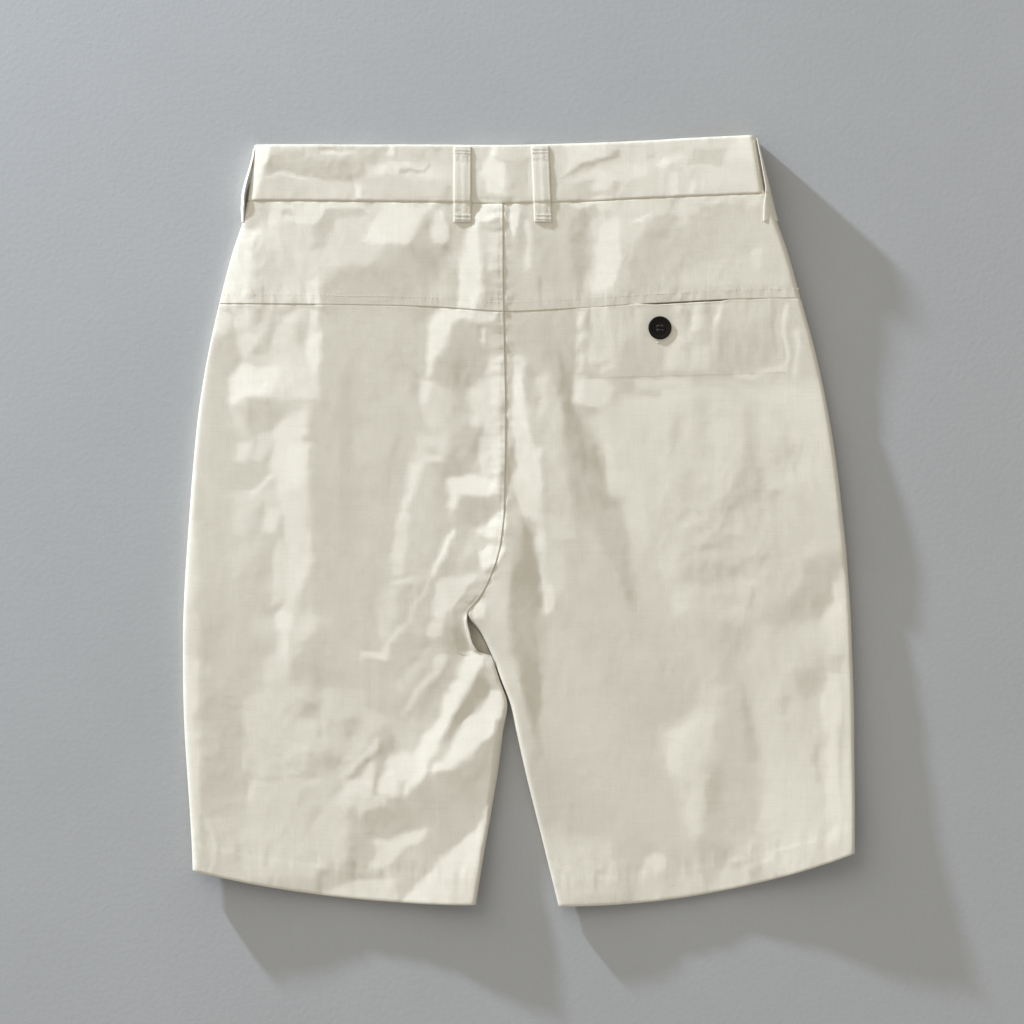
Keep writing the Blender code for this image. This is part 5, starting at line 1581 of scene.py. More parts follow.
@dataclass(frozen=True)
class Horn:
    """Polished very dark horn with faint streaks."""

    name: str = "dark horn"
    colour: tuple[float, float, float] = (0.008, 0.0055, 0.003)
    streak_scale: tuple[float, float, float] = (240.0, 1500.0, 240.0)
    wear_scale: float = 1900.0
    relief: float = 0.03 * MM

    def make(self) -> bpy.types.Material:
        """The material."""
        finish = Finish(self.name, self.colour)
        streaks = finish.noise(*self.streak_scale, detail=3.0)
        wear_and_painted_shade = finish.spread(finish.noise(self.wear_scale, detail=3.0), 0.42, 0.6)
        finish.bump(streaks, self.relief)
        return finish.done(finish.spread(streaks, 0.55, 1.7), Roughness=wear_and_painted_shade, Specular_IOR_Level=0.2)


@dataclass(frozen=True)
class ZipTape:
    """Herringbone tape."""

    name: str = "zip tape"
    colour: tuple[float, float, float] = (0.62, 0.57, 0.47)
    ribs_per_metre: float = 7000.0
    zigzag: tuple[float, float] = (1000.0, 2.0)
    relief: float = 0.06 * MM

    def make(self) -> bpy.types.Material:
        """The material."""
        finish = Finish(self.name, self.colour)
        across, turns = self.zigzag
        zigzag = finish.math("PINGPONG", finish.math("MULTIPLY", finish.x, across), turns)
        along = finish.math("MULTIPLY", finish.y, self.ribs_per_metre)
        ribs = finish.math("SINE", finish.math("ADD", along, zigzag))
        finish.bump(ribs, self.relief)
        return finish.done(finish.spread(ribs, 0.94, 1.0), Roughness=0.8)


@dataclass(frozen=True)
class Teeth:
    """Moulded nylon zip teeth."""

    name: str = "zip teeth"
    colour: tuple[float, float, float] = (0.6, 0.56, 0.47)
    tone_scale: float = 600.0

    def make(self) -> bpy.types.Material:
        """The material."""
        finish = Finish(self.name, self.colour)
        return finish.done(finish.spread(finish.noise(self.tone_scale), 0.9, 1.05), Roughness=0.4)


@dataclass(frozen=True)
class Plaster:
    """The pale grey painted surface under the shorts, with painted shade that darkens it where the lamp
    stands close over it.
    """

    lamp_foot: tuple[float, float]
    name: str = "pale grey surface"
    colour: tuple[float, float, float] = (0.478, 0.474, 0.460)
    broad_scale: float = 9.0
    fine_scale: float = 260.0
    scratch_scale: tuple[float, float, float] = (520.0, 24.0, 30.0)
    scratched_scale: float = 60.0
    relief: float = 0.12 * MM
    # painted shade near the lamp's foot: the distances from it over which the shade fades out, and how dark
    # it is at the foot
    lamp_shade_reach: tuple[float, float] = (0.4, 2.0)
    lamp_shade_tone: float = 0.03

    def make(self) -> bpy.types.Material:
        """The material."""
        finish = Finish(self.name, self.colour)
        broad, fine = finish.noise(self.broad_scale, detail=4.0), finish.noise(self.fine_scale, detail=3.0)
        scratches = finish.noise(*self.scratch_scale, detail=3.0)
        scratches = finish.product(scratches, finish.noise(self.scratched_scale, detail=3.0))
        # painted shade: the colour darkens towards the lamp's foot, to hold back the lamp's bright pool there
        x, y = self.lamp_foot
        from_foot = finish.add("ShaderNodeMapping", Vector=finish.place, Location=(-x, -y, 0.0)).outputs[0]
        span = finish.add("ShaderNodeVectorMath", {"operation": "LENGTH"}, Vector=from_foot).outputs["Value"]
        reach = {"From_Min": self.lamp_shade_reach[0], "From_Max": self.lamp_shade_reach[1]}
        wear_and_painted_shade = finish.add("ShaderNodeMapRange", Value=span, To_Min=self.lamp_shade_tone, **reach)
        finish.bump(fine, self.relief)
        return finish.done(
            finish.spread(broad, 0.96, 1.04),
            finish.spread(fine, 0.98, 1.02),
            finish.spread(scratches, 0.985, 1.05),
            wear_and_painted_shade.outputs[0],
            Roughness=0.85,
            Specular_IOR_Level=0.2,
        )


DARK_THREAD = Thread("dark sewing thread", (0.008, 0.006, 0.004))


class Finishes:
    """Every finish of the shorts, made once."""

    def __init__(self) -> None:
        """Makes the materials."""
        self.linen, self.thread, self.dark_thread = Linen().make(), Thread().make(), DARK_THREAD.make()
        self.horn, self.tape, self.teeth = Horn().make(), ZipTape().make(), Teeth().make()


# ---------------------------------------------------------------- the pieces


BAND_ENDS = {Side.LEFT: (-198.0, -203.3), Side.RIGHT: (177.0, 184.5)}   # x at the top and at the seam
BACK_LOOPS_X = {Side.LEFT: -42.0, Side.RIGHT: 16.2}
FRONT_LOOPS_X = {Side.LEFT: -118.0, Side.RIGHT: 96.0}
WAIST_BUTTON_Y = 262.0


@dataclass
class Cloth:
    """What every cloth piece needs: the cut, the heights, the finish and the walls."""

    pattern: Pattern
    relief: Relief
    finishes: Finishes
    wall: float = 0.8
    pressed_wall: float = 0.34
    hem_wall: float = 2.0
    hem_ease: float = 1.2
    tuck: float = 2.0            # how far a lower piece runs in under the upper one
    tuck_in: float = 1.15        # how far it draws in there at the side
    side_roll: float = 6.0
    inner_roll: float = 6.0
    side_seam_z: float = 4.9
    inner_seam_z: float = 4.7
    seam_gap: float = 0.6        # between the rolled edges of back and front
    front_x: float = -11.0       # the middle of the front
    lap_gap: float = 0.35        # between two pieces of the front where one laps over the other

    def tucked(self, edge: Curve, seam: Curve, side: Side) -> Curve:
        """A side edge that steps in where the piece passes under the one above it."""

        def curve(y: Array) -> Array:
            """The edge's x at y."""
            x = edge(y)
            return x - side.outwards * self.tuck_in * (1 - smooth(-0.4, 1.6, seam(x) - y))

        return curve

    def thinned(self, away: Array) -> Array:
        """The wall at a distance from a lapped edge, where the turning is pressed thin."""
        return self.pressed_wall + (self.wall - self.pressed_wall) * smooth(0.5, 4, away)

    def leg_patch(
        self,
        side: Side,
        top: Curve,
        edges: tuple[Curve, Curve],
        rolls: tuple[Roll, Roll],
        faces: tuple[Height, Height],
    ) -> Patch:
        """A leg panel's boundary and surface.

        Args:
            side: The leg.
            top: The upper edge, as y of x.
            edges: The side edge and the one towards the other leg, each as x of y.
            rolls: How those two edges roll.
            faces: The outer face, and how far the rolled edges are lifted.

        Returns:
            The patch.
        """
        hem = self.pattern.hem_of[side]
        lows = (hem.inner_y + hem.climb, hem.inner_y)
        down = [down_edge(edge, meeting_y(edge, top), low) for edge, low in zip(edges, lows)]
        return patch_between(top, self.pattern.hem[side], side.in_order(*down), side.in_order(*rolls), *faces)

    def hem_walls(self, grid: Array, side: Side) -> Array:
        """The wall of a leg panel, which is doubled at the turned hem."""
        depth = self.pattern.hem_of[side].depth
        above_hem = grid[..., 1] - self.pattern.hem[side](grid[..., 0])
        doubled = 1 - smooth(depth - self.hem_ease, depth + self.hem_ease, above_hem)
        return self.wall + (self.hem_wall - self.wall) * doubled

    def make(self, name: str, grid: Array, walls: Array | float, facing_up: bool = True) -> bpy.types.Object:
        """Makes and dresses a linen piece.

        Args:
            name: The piece's name.
            grid: Its outer face.
            walls: Its thickness.
            facing_up: Whether its outer face is the upper one.

        Returns:
            The piece.
        """
        piece = Shell(grid, walls + 0 * grid[..., 0], facing_up).build(name)
        return dress(piece, self.finishes.linen, "linen", CUTS[name].node)


@dataclass
class BackLegs(Cloth):
    """The two back leg panels."""

    cell: float = 1.42
    fine: float = 0.55
    fold_y: float = -104.0       # the left panel's inner edge is folded below this
    under_gap: float = 0.6       # and passes under the right leg this far in from its edge

    def top(self, x: Array) -> Array:
        """The upper edge: under the yoke, but free along the pocket's mouth."""
        pocket = self.relief.pocket
        is_open = pocket.open_share(x)
        return self.pattern.yoke_seam(x) + self.tuck * (1 - is_open) - pocket.gape * is_open

    def inner(self, side: Side) -> Curve:
        """The edge towards the other leg: the centre back seam, then the inner fold.

        Args:
            side: The wearer's side.

        Returns:
            The edge, as x of y.
        """
        left, right = self.pattern.seat[Side.LEFT], self.pattern.seat[Side.RIGHT]

        def left_edge(y: Array) -> Array:
            """The left panel's, which passes under the right leg at the crotch."""
            under = smooth(-124, -106, y) * (1 - smooth(-101, -98.5, y))
            return left(y) + (right(y) - self.under_gap - left(y)) * under - np.interp(y, *CROTCH_GAP)

        def right_edge(y: Array) -> Array:
            """The right panel's, which is tucked under the left one above the crotch."""
            return right(y) - self.tuck * smooth(CROTCH_Y + 1, CROTCH_Y + 12, y)

        return left_edge if side is Side.LEFT else right_edge

    def build(self, side: Side) -> bpy.types.Object:
        """Makes and dresses one panel.

        Args:
            side: The wearer's side.

        Returns:
            The panel.
        """
        low = self.fold_y if side is Side.LEFT else CROTCH_Y
        rolls = (Roll(self.side_roll, self.side_seam_z), Roll(self.inner_roll, self.inner_seam_z, low))
        edges = (self.tucked(self.pattern.side[side], self.pattern.yoke_seam, side), self.inner(side))
        faces = (lambda x, y: self.relief.leg(x, y, side), self.relief.corners)
        patch = self.leg_patch(side, self.top, edges, rolls, faces)
        ends, zone = side.in_order(self.cell, self.fine), side.in_order(1.0, 7.0)
        across = graded(patch.width - self.side_roll - self.inner_roll, ends, zone, self.cell)
        grid = patch.points(across, graded(patch.length, (self.fine, 0.8), (5.0, 2.5), self.cell))
        walls = self.hem_walls(grid, side)
        if side is Side.LEFT:
            x, y = grid[..., 0], grid[..., 1]
            thinner = self.thinned(self.pattern.seat[side](y) - x) - self.wall
            walls += smooth(CROTCH_Y, CROTCH_Y + 8, y) * thinner
        return self.make(f"{side.value}_back_leg", grid, walls)


@dataclass
class FrontLegs(Cloth):
    """The two front leg panels, under the back ones and face down, lapped at the fly."""

    cell: float = 3.2
    fine: float = 1.0
    fold_lag: float = 8.0
    crotch_ease: float = 1.0
    fly_overlap: float = 8.0
    fly_end_y: float = 78.0
    fly_ease: float = 20.0
    fly_slope: float = 23.0
    solid_wall: float = 1.2
    gap_ease: float = 0.4
    propped: float = 2.1

    def prop(self, x: Array, y: Array) -> Array:
        """The front is propped up by the waist button and by the loops that it lies on."""
        button = mound(np.maximum(np.hypot(x - self.front_x, y - WAIST_BUTTON_Y) - 14, 0), 50)
        loops = sum(mound(np.maximum(abs(x - at) - 10.5, 0), 30) for at in FRONT_LOOPS_X.values())
        return self.propped * np.maximum(button, loops * smooth(170, 222, y))

    def lift(self, x: Array, y: Array) -> Array:
        """How far the corners lift the rolled edges, and how much lower they end at the crotch."""
        crotch_x = float(self.pattern.seat[Side.LEFT](CROTCH_Y)) + 10
        near = mound(np.maximum(np.hypot(x - crotch_x, y - CROTCH_Y + 28) - 12, 0), 38)
        return self.relief.corners(x, y, back=False) - self.crotch_ease * near

    def surface(self, x: Array, y: Array, side: Side) -> Array:
        """One panel's outer face, which lies down. The right one rises over the left one at the fly."""
        z = self.prop(x, y) + self.relief.corners(x, y, back=False)
        if side is Side.LEFT:
            return z
        lap_edge = self.front_x + self.fly_overlap + 3
        over = (self.solid_wall + self.lap_gap) * (1 - smooth(lap_edge, lap_edge + self.fly_slope, x))
        low_y = self.fly_end_y - 2 * self.fly_ease
        return z + over * smooth(low_y - 36, low_y, y)

    def inner(self, side: Side) -> Curve:
        """The inner edge. The left one laps over at the fly, and closes the small gap at the crotch.

        Args:
            side: The wearer's side.

        Returns:
            The edge, as x of y.
        """
        left, right = self.pattern.seat[Side.LEFT], self.pattern.seat[Side.RIGHT]

        def left_edge(y: Array) -> Array:
            """The left panel's."""
            lap = self.fly_overlap * smooth(self.fly_end_y - self.fly_ease, self.fly_end_y, y)
            behind_gap = smooth(-106, -100, y) * (1 - smooth(-73, -69, y))
            return left(y) + (lap + (right(y) - left(y) - self.gap_ease) * behind_gap)

        return left_edge if side is Side.LEFT else right

    def build(self, side: Side) -> bpy.types.Object:
        """Makes and dresses one panel.

        Args:
            side: The wearer's side.

        Returns:
            The panel.
        """
        rolls = (
            Roll(self.side_roll, self.side_seam_z - self.seam_gap),
            Roll(self.inner_roll, self.inner_seam_z - self.seam_gap, CROTCH_Y - self.fold_lag),
        )
        top = moved(self.pattern.waist_seam, -self.lap_gap)
        edges = (self.pattern.side[side], self.inner(side))
        faces = (lambda x, y: self.surface(x, y, side), self.lift)
        patch = self.leg_patch(side, top, edges, rolls, faces)
        width = patch.width - self.side_roll - self.inner_roll
        across = graded(width, (self.cell, self.cell), (1, 1), self.cell)
        grid = patch.points(across, graded(patch.length, (self.fine, self.fine), (2.0, 3.0), self.cell))
        return self.make(f"{side.value}_front_leg", grid, self.hem_walls(grid, side), False)


@dataclass
class Yokes(Cloth):
    """The two back yokes, over the leg panels and under the waistband."""

    cell: float = 0.95
    fine: float = 0.5

    def build(self, side: Side) -> bpy.types.Object:
        """Makes and dresses one yoke.

        Args:
            side: The wearer's side.

        Returns:
            The yoke.
        """
        upper, lower = moved(self.pattern.waist_seam, self.tuck), self.pattern.yoke_seam
        outer = self.tucked(self.pattern.side[side], self.pattern.waist_seam, side)
        inner = moved(self.pattern.seat[side], 0.0 if side is Side.LEFT else -self.tuck)
        edges = [down_edge(edge, meeting_y(edge, upper), meeting_y(edge, lower)) for edge in (outer, inner)]
        rolls = side.in_order(Roll(self.side_roll, self.side_seam_z), Roll())
        face = lambda x, y: self.relief.yoke(x, y, side)
        patch = patch_between(upper, lower, side.in_order(*edges), rolls, face)
        ends, zone = side.in_order(self.cell, self.fine), side.in_order(1.0, 6.0)
        across = graded(patch.width - self.side_roll, ends, zone, self.cell)
        grid = patch.points(across, graded(patch.length, (self.fine, self.fine), (5.0, 3.0), self.cell))
        x, y = grid[..., 0], grid[..., 1]
        walls = self.thinned(y - lower(x))
        if side is Side.LEFT:
            walls = np.minimum(walls, self.thinned(self.pattern.seat[side](y) - x))
        return self.make(f"{side.value}_yoke", grid, walls)


def band_end(pattern: Pattern, side: Side) -> Curve:
    """The short edge of the waistband at a side, from the top down."""
    top_x, low_x = BAND_ENDS[side]
    top_y, low_y = float(pattern.waist_top(top_x)), float(pattern.waist_seam(low_x))

    def curve(v: Array) -> Array:
        """The point at share v."""
        v = np.asarray(v, float)
        return np.stack([top_x + (low_x - top_x) * v, top_y + (low_y - top_y) * v], axis=-1)

    return curve


@dataclass
class Waistband(Cloth):
    """The waistband: one stretch across the back, two across the front."""

    cell: float = 0.9
    front_cell: float = 3.0
    band_wall: float = 1.6
    low_wall: float = 0.7
    tab: float = 15.0
    underlap: float = 25.0
    tab_slope: float = 36.0
    solid_wall: float = 1.8

    def straight_end(self, x: float) -> Curve:
        """A cut end of the waistband at one x, from its top down to its seam."""
        top, low = float(self.pattern.waist_top(x)), float(self.pattern.waist_seam(x))
        return down_edge(lambda y: x + 0 * y, top, low)

    def stretch(self, edges: tuple[Curve, Curve], rolls: tuple[Roll, Roll], surface: Height) -> Patch:
        """One stretch of the band between two ends."""
        return patch_between(self.pattern.waist_top, self.pattern.waist_seam, edges, rolls, surface)

    def walls(self, grid: Array) -> Array:
        """The band's thickness, less where it closes down on its seam."""
        above = grid[..., 1] - self.pattern.waist_seam(grid[..., 0])
        return self.low_wall + (self.band_wall - self.low_wall) * smooth(1, 5, above)

    def build_back(self) -> bpy.types.Object:
        """Makes and dresses the stretch across the back."""
        roll = Roll(self.side_roll, self.side_seam_z)
        ends = tuple(band_end(self.pattern, side) for side in Side)
        patch = self.stretch(ends, (roll, roll), self.relief.band)
        across = graded(patch.width - 2 * self.side_roll, (self.cell, self.cell), (1, 1), self.cell)
        grid = patch.points(across, graded(patch.length, (0.4, 0.4), (2.0, 2.5), self.cell))
        return self.make("band_back", grid, self.walls(grid))

    def build_front(self, side: Side, prop: Height) -> bpy.types.Object:
        """Makes and dresses one stretch across the front, over what props it up.

        Args:
            side: The wearer's side.
            prop: How far the front is propped up.

        Returns:
            The stretch.
        """

        def over_tab(x: Array, y: Array) -> Array:
            """The right stretch rises over the buttoned end of the left one."""
            tab_edge = self.front_x + self.tab + 4
            over = 1 - smooth(tab_edge, tab_edge + self.tab_slope, x)
            return prop(x, y) + (self.solid_wall + self.lap_gap) * over

        on_left = side is Side.LEFT
        end = self.straight_end(self.front_x + (self.tab if on_left else -self.underlap))
        edges = side.in_order(band_end(self.pattern, side), end)
        rolls = side.in_order(Roll(self.side_roll, self.side_seam_z - self.seam_gap), Roll())
        patch = self.stretch(edges, rolls, prop if on_left else over_tab)
        across = graded(patch.width - self.side_roll, (1.2, 1.2), (2, 2), self.front_cell)
        grid = patch.points(across, graded(patch.length, (0.8, 0.8), (2.0, 2.0), self.front_cell))
        return self.make(f"band_front_{side.value}", grid, self.walls(grid), False)


@dataclass
class Loops(Cloth):
    """The six belt loops."""

    width: float = 13.0
    tacks: list[Array] = field(default_factory=list)
    loop_wall: float = 0.8
    under_wall: float = 1.4
    low_y: float = 224.6
    inset: float = 1.2
    rest: float = 0.06           # the gap under a loop
    floor_gap: float = 0.35
    arch: float = 0.3
    right_lean: float = 2.4
    left_inset: float = 3.0
    left_turn: tuple[float, float] = (-28.0, 36.0)
    left_clear: float = 0.15
    left_arch: float = 4.2
    # The right side loop's edge on the band and yoke, and its free edge: places along Y, and x there.
    right_near: tuple = (
        (224.6, 236.0, 244.0, 250.0, 270.0, 286.0), (183.0, 183.2, 184.3, 184.3, 180.7, 177.7)
    )
    right_far: tuple = ((224.6, 286.0), (194.5, 178.9))
    squareness: float = 3.0

    def strip(self, at_x: float, lean: float) -> tuple[Array, Array, Array]:
        """A flat strip in plan, from its top down: x, y and the share of the length."""
        across = graded(self.width, (0.35, 0.35), (1.2, 1.2), 0.75)[None, :]
        top_y = float(self.pattern.waist_top(at_x)) - self.inset
        along = graded(top_y - self.low_y, (0.35, 0.35), (2, 2), 0.8)[:, None]
        x = at_x + lean * along + self.width * (across - 0.5)
        return x, top_y + (self.low_y - top_y) * along + 0 * x, along

    def folds(self, from_left: Array) -> Array:
        """The ridges of the strip's turned edges, which meet a little right of its middle."""
        left_edge, meeting = 0.16 * smooth(0.4, 2.6, from_left), 0.22 * smooth(5.2, 7.4, from_left)
        return left_edge + meeting - 0.2 * smooth(8, 11, from_left)

    def build_back(self, side: Side) -> bpy.types.Object:
        """Makes and dresses one of the two loops on the back.

        Args:
            side: The wearer's side.

        Returns:
            The loop.
        """
        x, y, along = self.strip(BACK_LOOPS_X[side], 0.0 if side is Side.LEFT else self.right_lean)
        held = 1 - np.minimum(bell(along - 0.2, 0.035) + bell(along - 0.88, 0.035), 1)
        z = self.relief.top_at(x, y) + self.loop_wall + self.rest + self.arch * held * np.sin(np.pi * along)
        off = x - x.mean(axis=1, keepdims=True)
        lumps = 0.16 * self.relief.noises[5](x / 1.9, y / 2.3) * bell(along - 0.16, 0.1)
        lumps += 0.16 * self.relief.noises[6](x / 2.1, y / 1.9) * bell(along - 0.86, 0.09)
        turned = 0.3 * smooth(0.88, 1.0, abs(off) / (self.width / 2))
        grid = np.stack([x, y, z - 0.12 + self.folds(off + self.width / 2) + lumps - turned], axis=-1)
        self.tack(grid)
        return self.make(f"loop_back_{side.value}", grid, self.loop_wall)

    def build_front(self, side: Side) -> bpy.types.Object:
        """Makes and dresses one of the two loops that the front lies on."""
        x, y, _ = self.strip(FRONT_LOOPS_X[side], 0.0)
        return self.make(f"loop_front_{side.value}", np.stack([x, y, 0 * x], axis=-1), self.under_wall, False)

    def side_grids(self, top_y: float, low: float, high: float) -> tuple[Array, Array, Array]:
        """A side loop's share and y down its length, and its turn from low to high across it."""
        along = graded(top_y - self.low_y, (0.4, 0.4), (2, 2), 0.9)[:, None]
        turn = low + (high - low) * graded(self.width, (0.35, 0.35), (1, 1), 0.8)[None, :]
        return along, top_y + (self.low_y - top_y) * along, np.radians(turn)

    def left_side(self) -> Array:
        """The left side loop, which goes round the side fold and stands off it low down."""
        (top_x, top_y), (low_x, low_y) = (band_end(self.pattern, Side.LEFT)(v) for v in (0.0, 1.0))
        along, y, angle = self.side_grids(top_y - self.left_inset, *self.left_turn)
        on_band = smooth(low_y - 6, low_y - 1, y)
        band_x = low_x + (top_x - low_x) * (y - low_y) / (top_y - low_y)
        middle_x = band_x * on_band + self.pattern.side[Side.LEFT](y) * (1 - on_band) + self.side_roll
        above = self.relief.top_at(middle_x, y) - self.side_seam_z
        height = np.where(angle > 0, above, self.side_seam_z)
        out = np.stack([np.cos(angle) / self.side_roll + 0 * height, np.sin(angle) / height], axis=-1)
        out /= np.linalg.norm(out, axis=-1, keepdims=True)
        bow = self.left_arch * np.sin(np.pi * along**1.5).clip(0, 1) ** 1.2
        clear = self.left_clear + self.loop_wall + bow
        x = middle_x - self.side_roll * np.cos(angle) - clear * out[..., 0]
        z = np.maximum(self.side_seam_z + height * np.sin(angle) + clear * out[..., 1], self.floor_gap)
        return np.stack([x, y + 0 * x, z], axis=-1)

    def right_side(self) -> Array:
        """The right side loop, which stands on edge at the waist and turns down flat onto the yoke."""
        _, y, turn = self.side_grids(self.right_far[0][-1], 0.0, 90.0)
        near = np.interp(y, *self.right_near)
        wide = np.interp(y, *self.right_far) - near
        deep = np.sqrt(self.width**2 - wide**2)
        x = near + wide * np.sin(turn) ** (2 / self.squareness)
        z = self.relief.top_at(near, y) + self.loop_wall + self.rest
        z = z - deep * (1 - np.cos(turn).clip(0, 1) ** (2 / self.squareness))
        return np.stack([x, y + 0 * x, z], axis=-1)

    def build_side(self, side: Side) -> bpy.types.Object:
        """Makes and dresses the loop at one side."""
        grid = self.left_side() if side is Side.LEFT else self.right_side()
        return self.make(f"loop_side_{side.value}", grid, self.loop_wall)

    def tack(self, grid: Array) -> None:
        """Marks where a loop is held down, by two rows of bar tacks at each end."""
        depth = grid[0, 0, 1] - grid[:, 0, 1]
        for at in (2.6, 5.0, depth[-1] - 4.6, depth[-1] - 2.2):
            row = grid[int(np.argmin(abs(depth - at))), 2:-2]
            self.tacks.append(row + (0, 0, 0.02))

    def build_tacks(self) -> None:
        """Makes the bar tacks of the loops that have been built."""
        name, finish = "stitches_bar_tacks", self.finishes.thread
        Repeats(name, finish, (0.5, 1.9, 0.34), 0.6, jitter=0.3, seed=9).build(self.tacks, "linen")


@dataclass
class PocketLayer(Cloth):
    """The back pocket's inner layer, behind the right panel."""

    reach: float = 3.0
    below: float = 2.6
    layer_wall: float = 0.7
    cells: tuple[int, int] = (108, 40)

    def build(self) -> bpy.types.Object:
        """Makes and dresses it."""
        pocket = self.relief.pocket
        u, v = (np.linspace(0, 1, count + 1) for count in self.cells)
        u, v = u[None, :], v[:, None]
        x = pocket.left + (pocket.right - pocket.left) * u + 0 * v
        top = self.pattern.yoke_seam(x) + self.reach
        y = top + (pocket.low_edge(x) - top) * v
        grid = np.stack([x, y, self.relief.body(x, y) - self.below], axis=-1)
        return self.make("pocket_inner", grid, self.layer_wall)


@dataclass
class Button:
    """A round four-hole button with a raised rim and a dished middle, sewn on with dark thread."""

    name: str
    at: tuple[float, float, float]
    thick: float
    face_down: bool
    finishes: Finishes
    slope: tuple[float, float] = (0.0, 0.0)
    strand: float = 0.6
    strand_sides: int = 12
    strand_rings: int = 15
    radius: float = 8.7
    hole_radius: float = 0.9
    hole_offset: float = 2.2
    drill_sides: int = 20
    drill_length: float = 12.0
    steps: int = 72
    eased: float = 0.12
    eased_over: float = 50.0     # edges sharper than this are eased, in degrees

    # The section from the axis outwards and back, as shares of the radius and of the thickness.
    PROFILE = (
        (0.0, 0.0), (0.55, 0.0), (0.82, 0.03), (0.93, 0.14), (0.985, 0.36), (1.0, 0.6), (0.985, 0.82),
        (0.945, 0.96), (0.89, 1.0), (0.83, 0.975), (0.77, 0.87), (0.71, 0.73), (0.64, 0.645), (0.54, 0.62),
        (0.3, 0.6), (0.0, 0.6),
    )

    def placed(self, off_x: Array, off_y: Array, up: Array) -> tuple[Array, Array, Array]:
        """A place on the button, put where it lies, tilted as its seat is and turned if it faces down."""
        x, y, low = self.at
        rise = self.thick - up if self.face_down else up
        return x + off_x, y + off_y, low + rise + (self.slope[0] * off_x + self.slope[1] * off_y)

    def build(self) -> bpy.types.Object:
        """Turns the profile, drills the holes and places the button."""
        shape = bmesh.new()
        points = [shape.verts.new((r * self.radius, 0, z * self.thick)) for r, z in self.PROFILE]
        edges = [shape.edges.new(pair) for pair in zip(points[:-1], points[1:])]
        axis = {"cent": (0, 0, 0), "axis": (0, 0, 1), "angle": math.tau, "use_merge": True}
        bmesh.ops.spin(shape, geom=points + edges, steps=self.steps, **axis)
        bmesh.ops.remove_doubles(shape, verts=shape.verts, dist=1e-4)
        bmesh.ops.recalc_face_normals(shape, faces=shape.faces)
        piece = from_shape(self.name, shape)
        drills = [self.drill(k) for k in range(4)]
        for drill in drills:
            cut = piece.modifiers.new(drill.name, "BOOLEAN")
            cut.operation, cut.object = "DIFFERENCE", drill
        bevel = piece.modifiers.new("eased edges", "BEVEL")
        bevel.width, bevel.segments = self.eased, 2
        bevel.limit_method, bevel.angle_limit = "ANGLE", math.radians(self.eased_over)
        mesh = carried_out(piece, *drills)
        for vertex in mesh.vertices:
            u, v, w = vertex.co
            vertex.co = Vector(self.placed(u, -v if self.face_down else v, w)) * MM
        mesh.name = self.name
        mesh.shade_smooth()
        button = dress(add_object(self.name + "_finish", mesh), self.finishes.horn, "horn", self.name)
        self.sew_on()
        return button

    def drill(self, k: int) -> bpy.types.Object:
        """The k-th drill, a round bar through the button."""
        shape = bmesh.new()
        ends = {"radius1": self.hole_radius, "radius2": self.hole_radius}
        sizes = {"segments": self.drill_sides, "depth": self.drill_length}
        bmesh.ops.create_cone(shape, cap_ends=True, **ends, **sizes)
        angle = math.pi / 4 + k * math.pi / 2
        offset = Vector((math.cos(angle), math.sin(angle), 0)) * self.hole_offset
        bmesh.ops.translate(shape, verts=shape.verts, vec=offset)
        return from_shape(f"drill_{k}", shape)

    def sew_on(self) -> None:
        """The thread that fills the holes and crosses between them, in two dark strands."""
        hole = self.hole_offset * math.sqrt(0.5)
        sides, rings = self.strand_sides, self.strand_rings
        turn = np.linspace(0, math.tau, sides + 1)[:-1]
        along = np.linspace(0, 1, rings)
        run_x = hole * np.interp(along, (0, 0.2, 0.8, 1), (-1, -1, 1, 1))
        heights = (0.08, 0.5, 0.62, 0.62, 0.5, 0.08)
        run_z = self.thick * np.interp(along, (0, 0.2, 0.35, 0.65, 0.8, 1), heights)
        tangent = np.stack([np.gradient(run_x), np.gradient(run_z)], axis=1)
        tangent /= np.linalg.norm(tangent, axis=1, keepdims=True)
        round_up, round_y = self.strand * np.sin(turn), self.strand * np.cos(turn)
        points, faces = [], []
        for row in (-hole, hole):
            first = len(points)
            for at_x, at_z, (go_x, go_z) in zip(run_x, run_z, tangent):
                points += zip(*self.placed(at_x - round_up * go_z, row + round_y, at_z + round_up * go_x))
            for ring in range(first, first + sides * (rings - 1), sides):
                for j in range(sides):
                    after = (j + 1) % sides
                    faces.append((ring + j, ring + after, ring + sides + after, ring + sides + j))
            faces.append(tuple(range(first + sides - 1, first - 1, -1)))
            faces.append(tuple(range(len(points) - sides, len(points))))
        strands = to_object(self.name + "_thread", np.array(points), faces)
        shape = bmesh.new()
        shape.from_mesh(strands.data)
        bmesh.ops.recalc_face_normals(shape, faces=shape.faces)
        shape.to_mesh(strands.data)
        shape.free()
        dress(strands, self.finishes.dark_thread, "horn")


# ---------------------------------------------------------------- what repeats: stitches and zip teeth


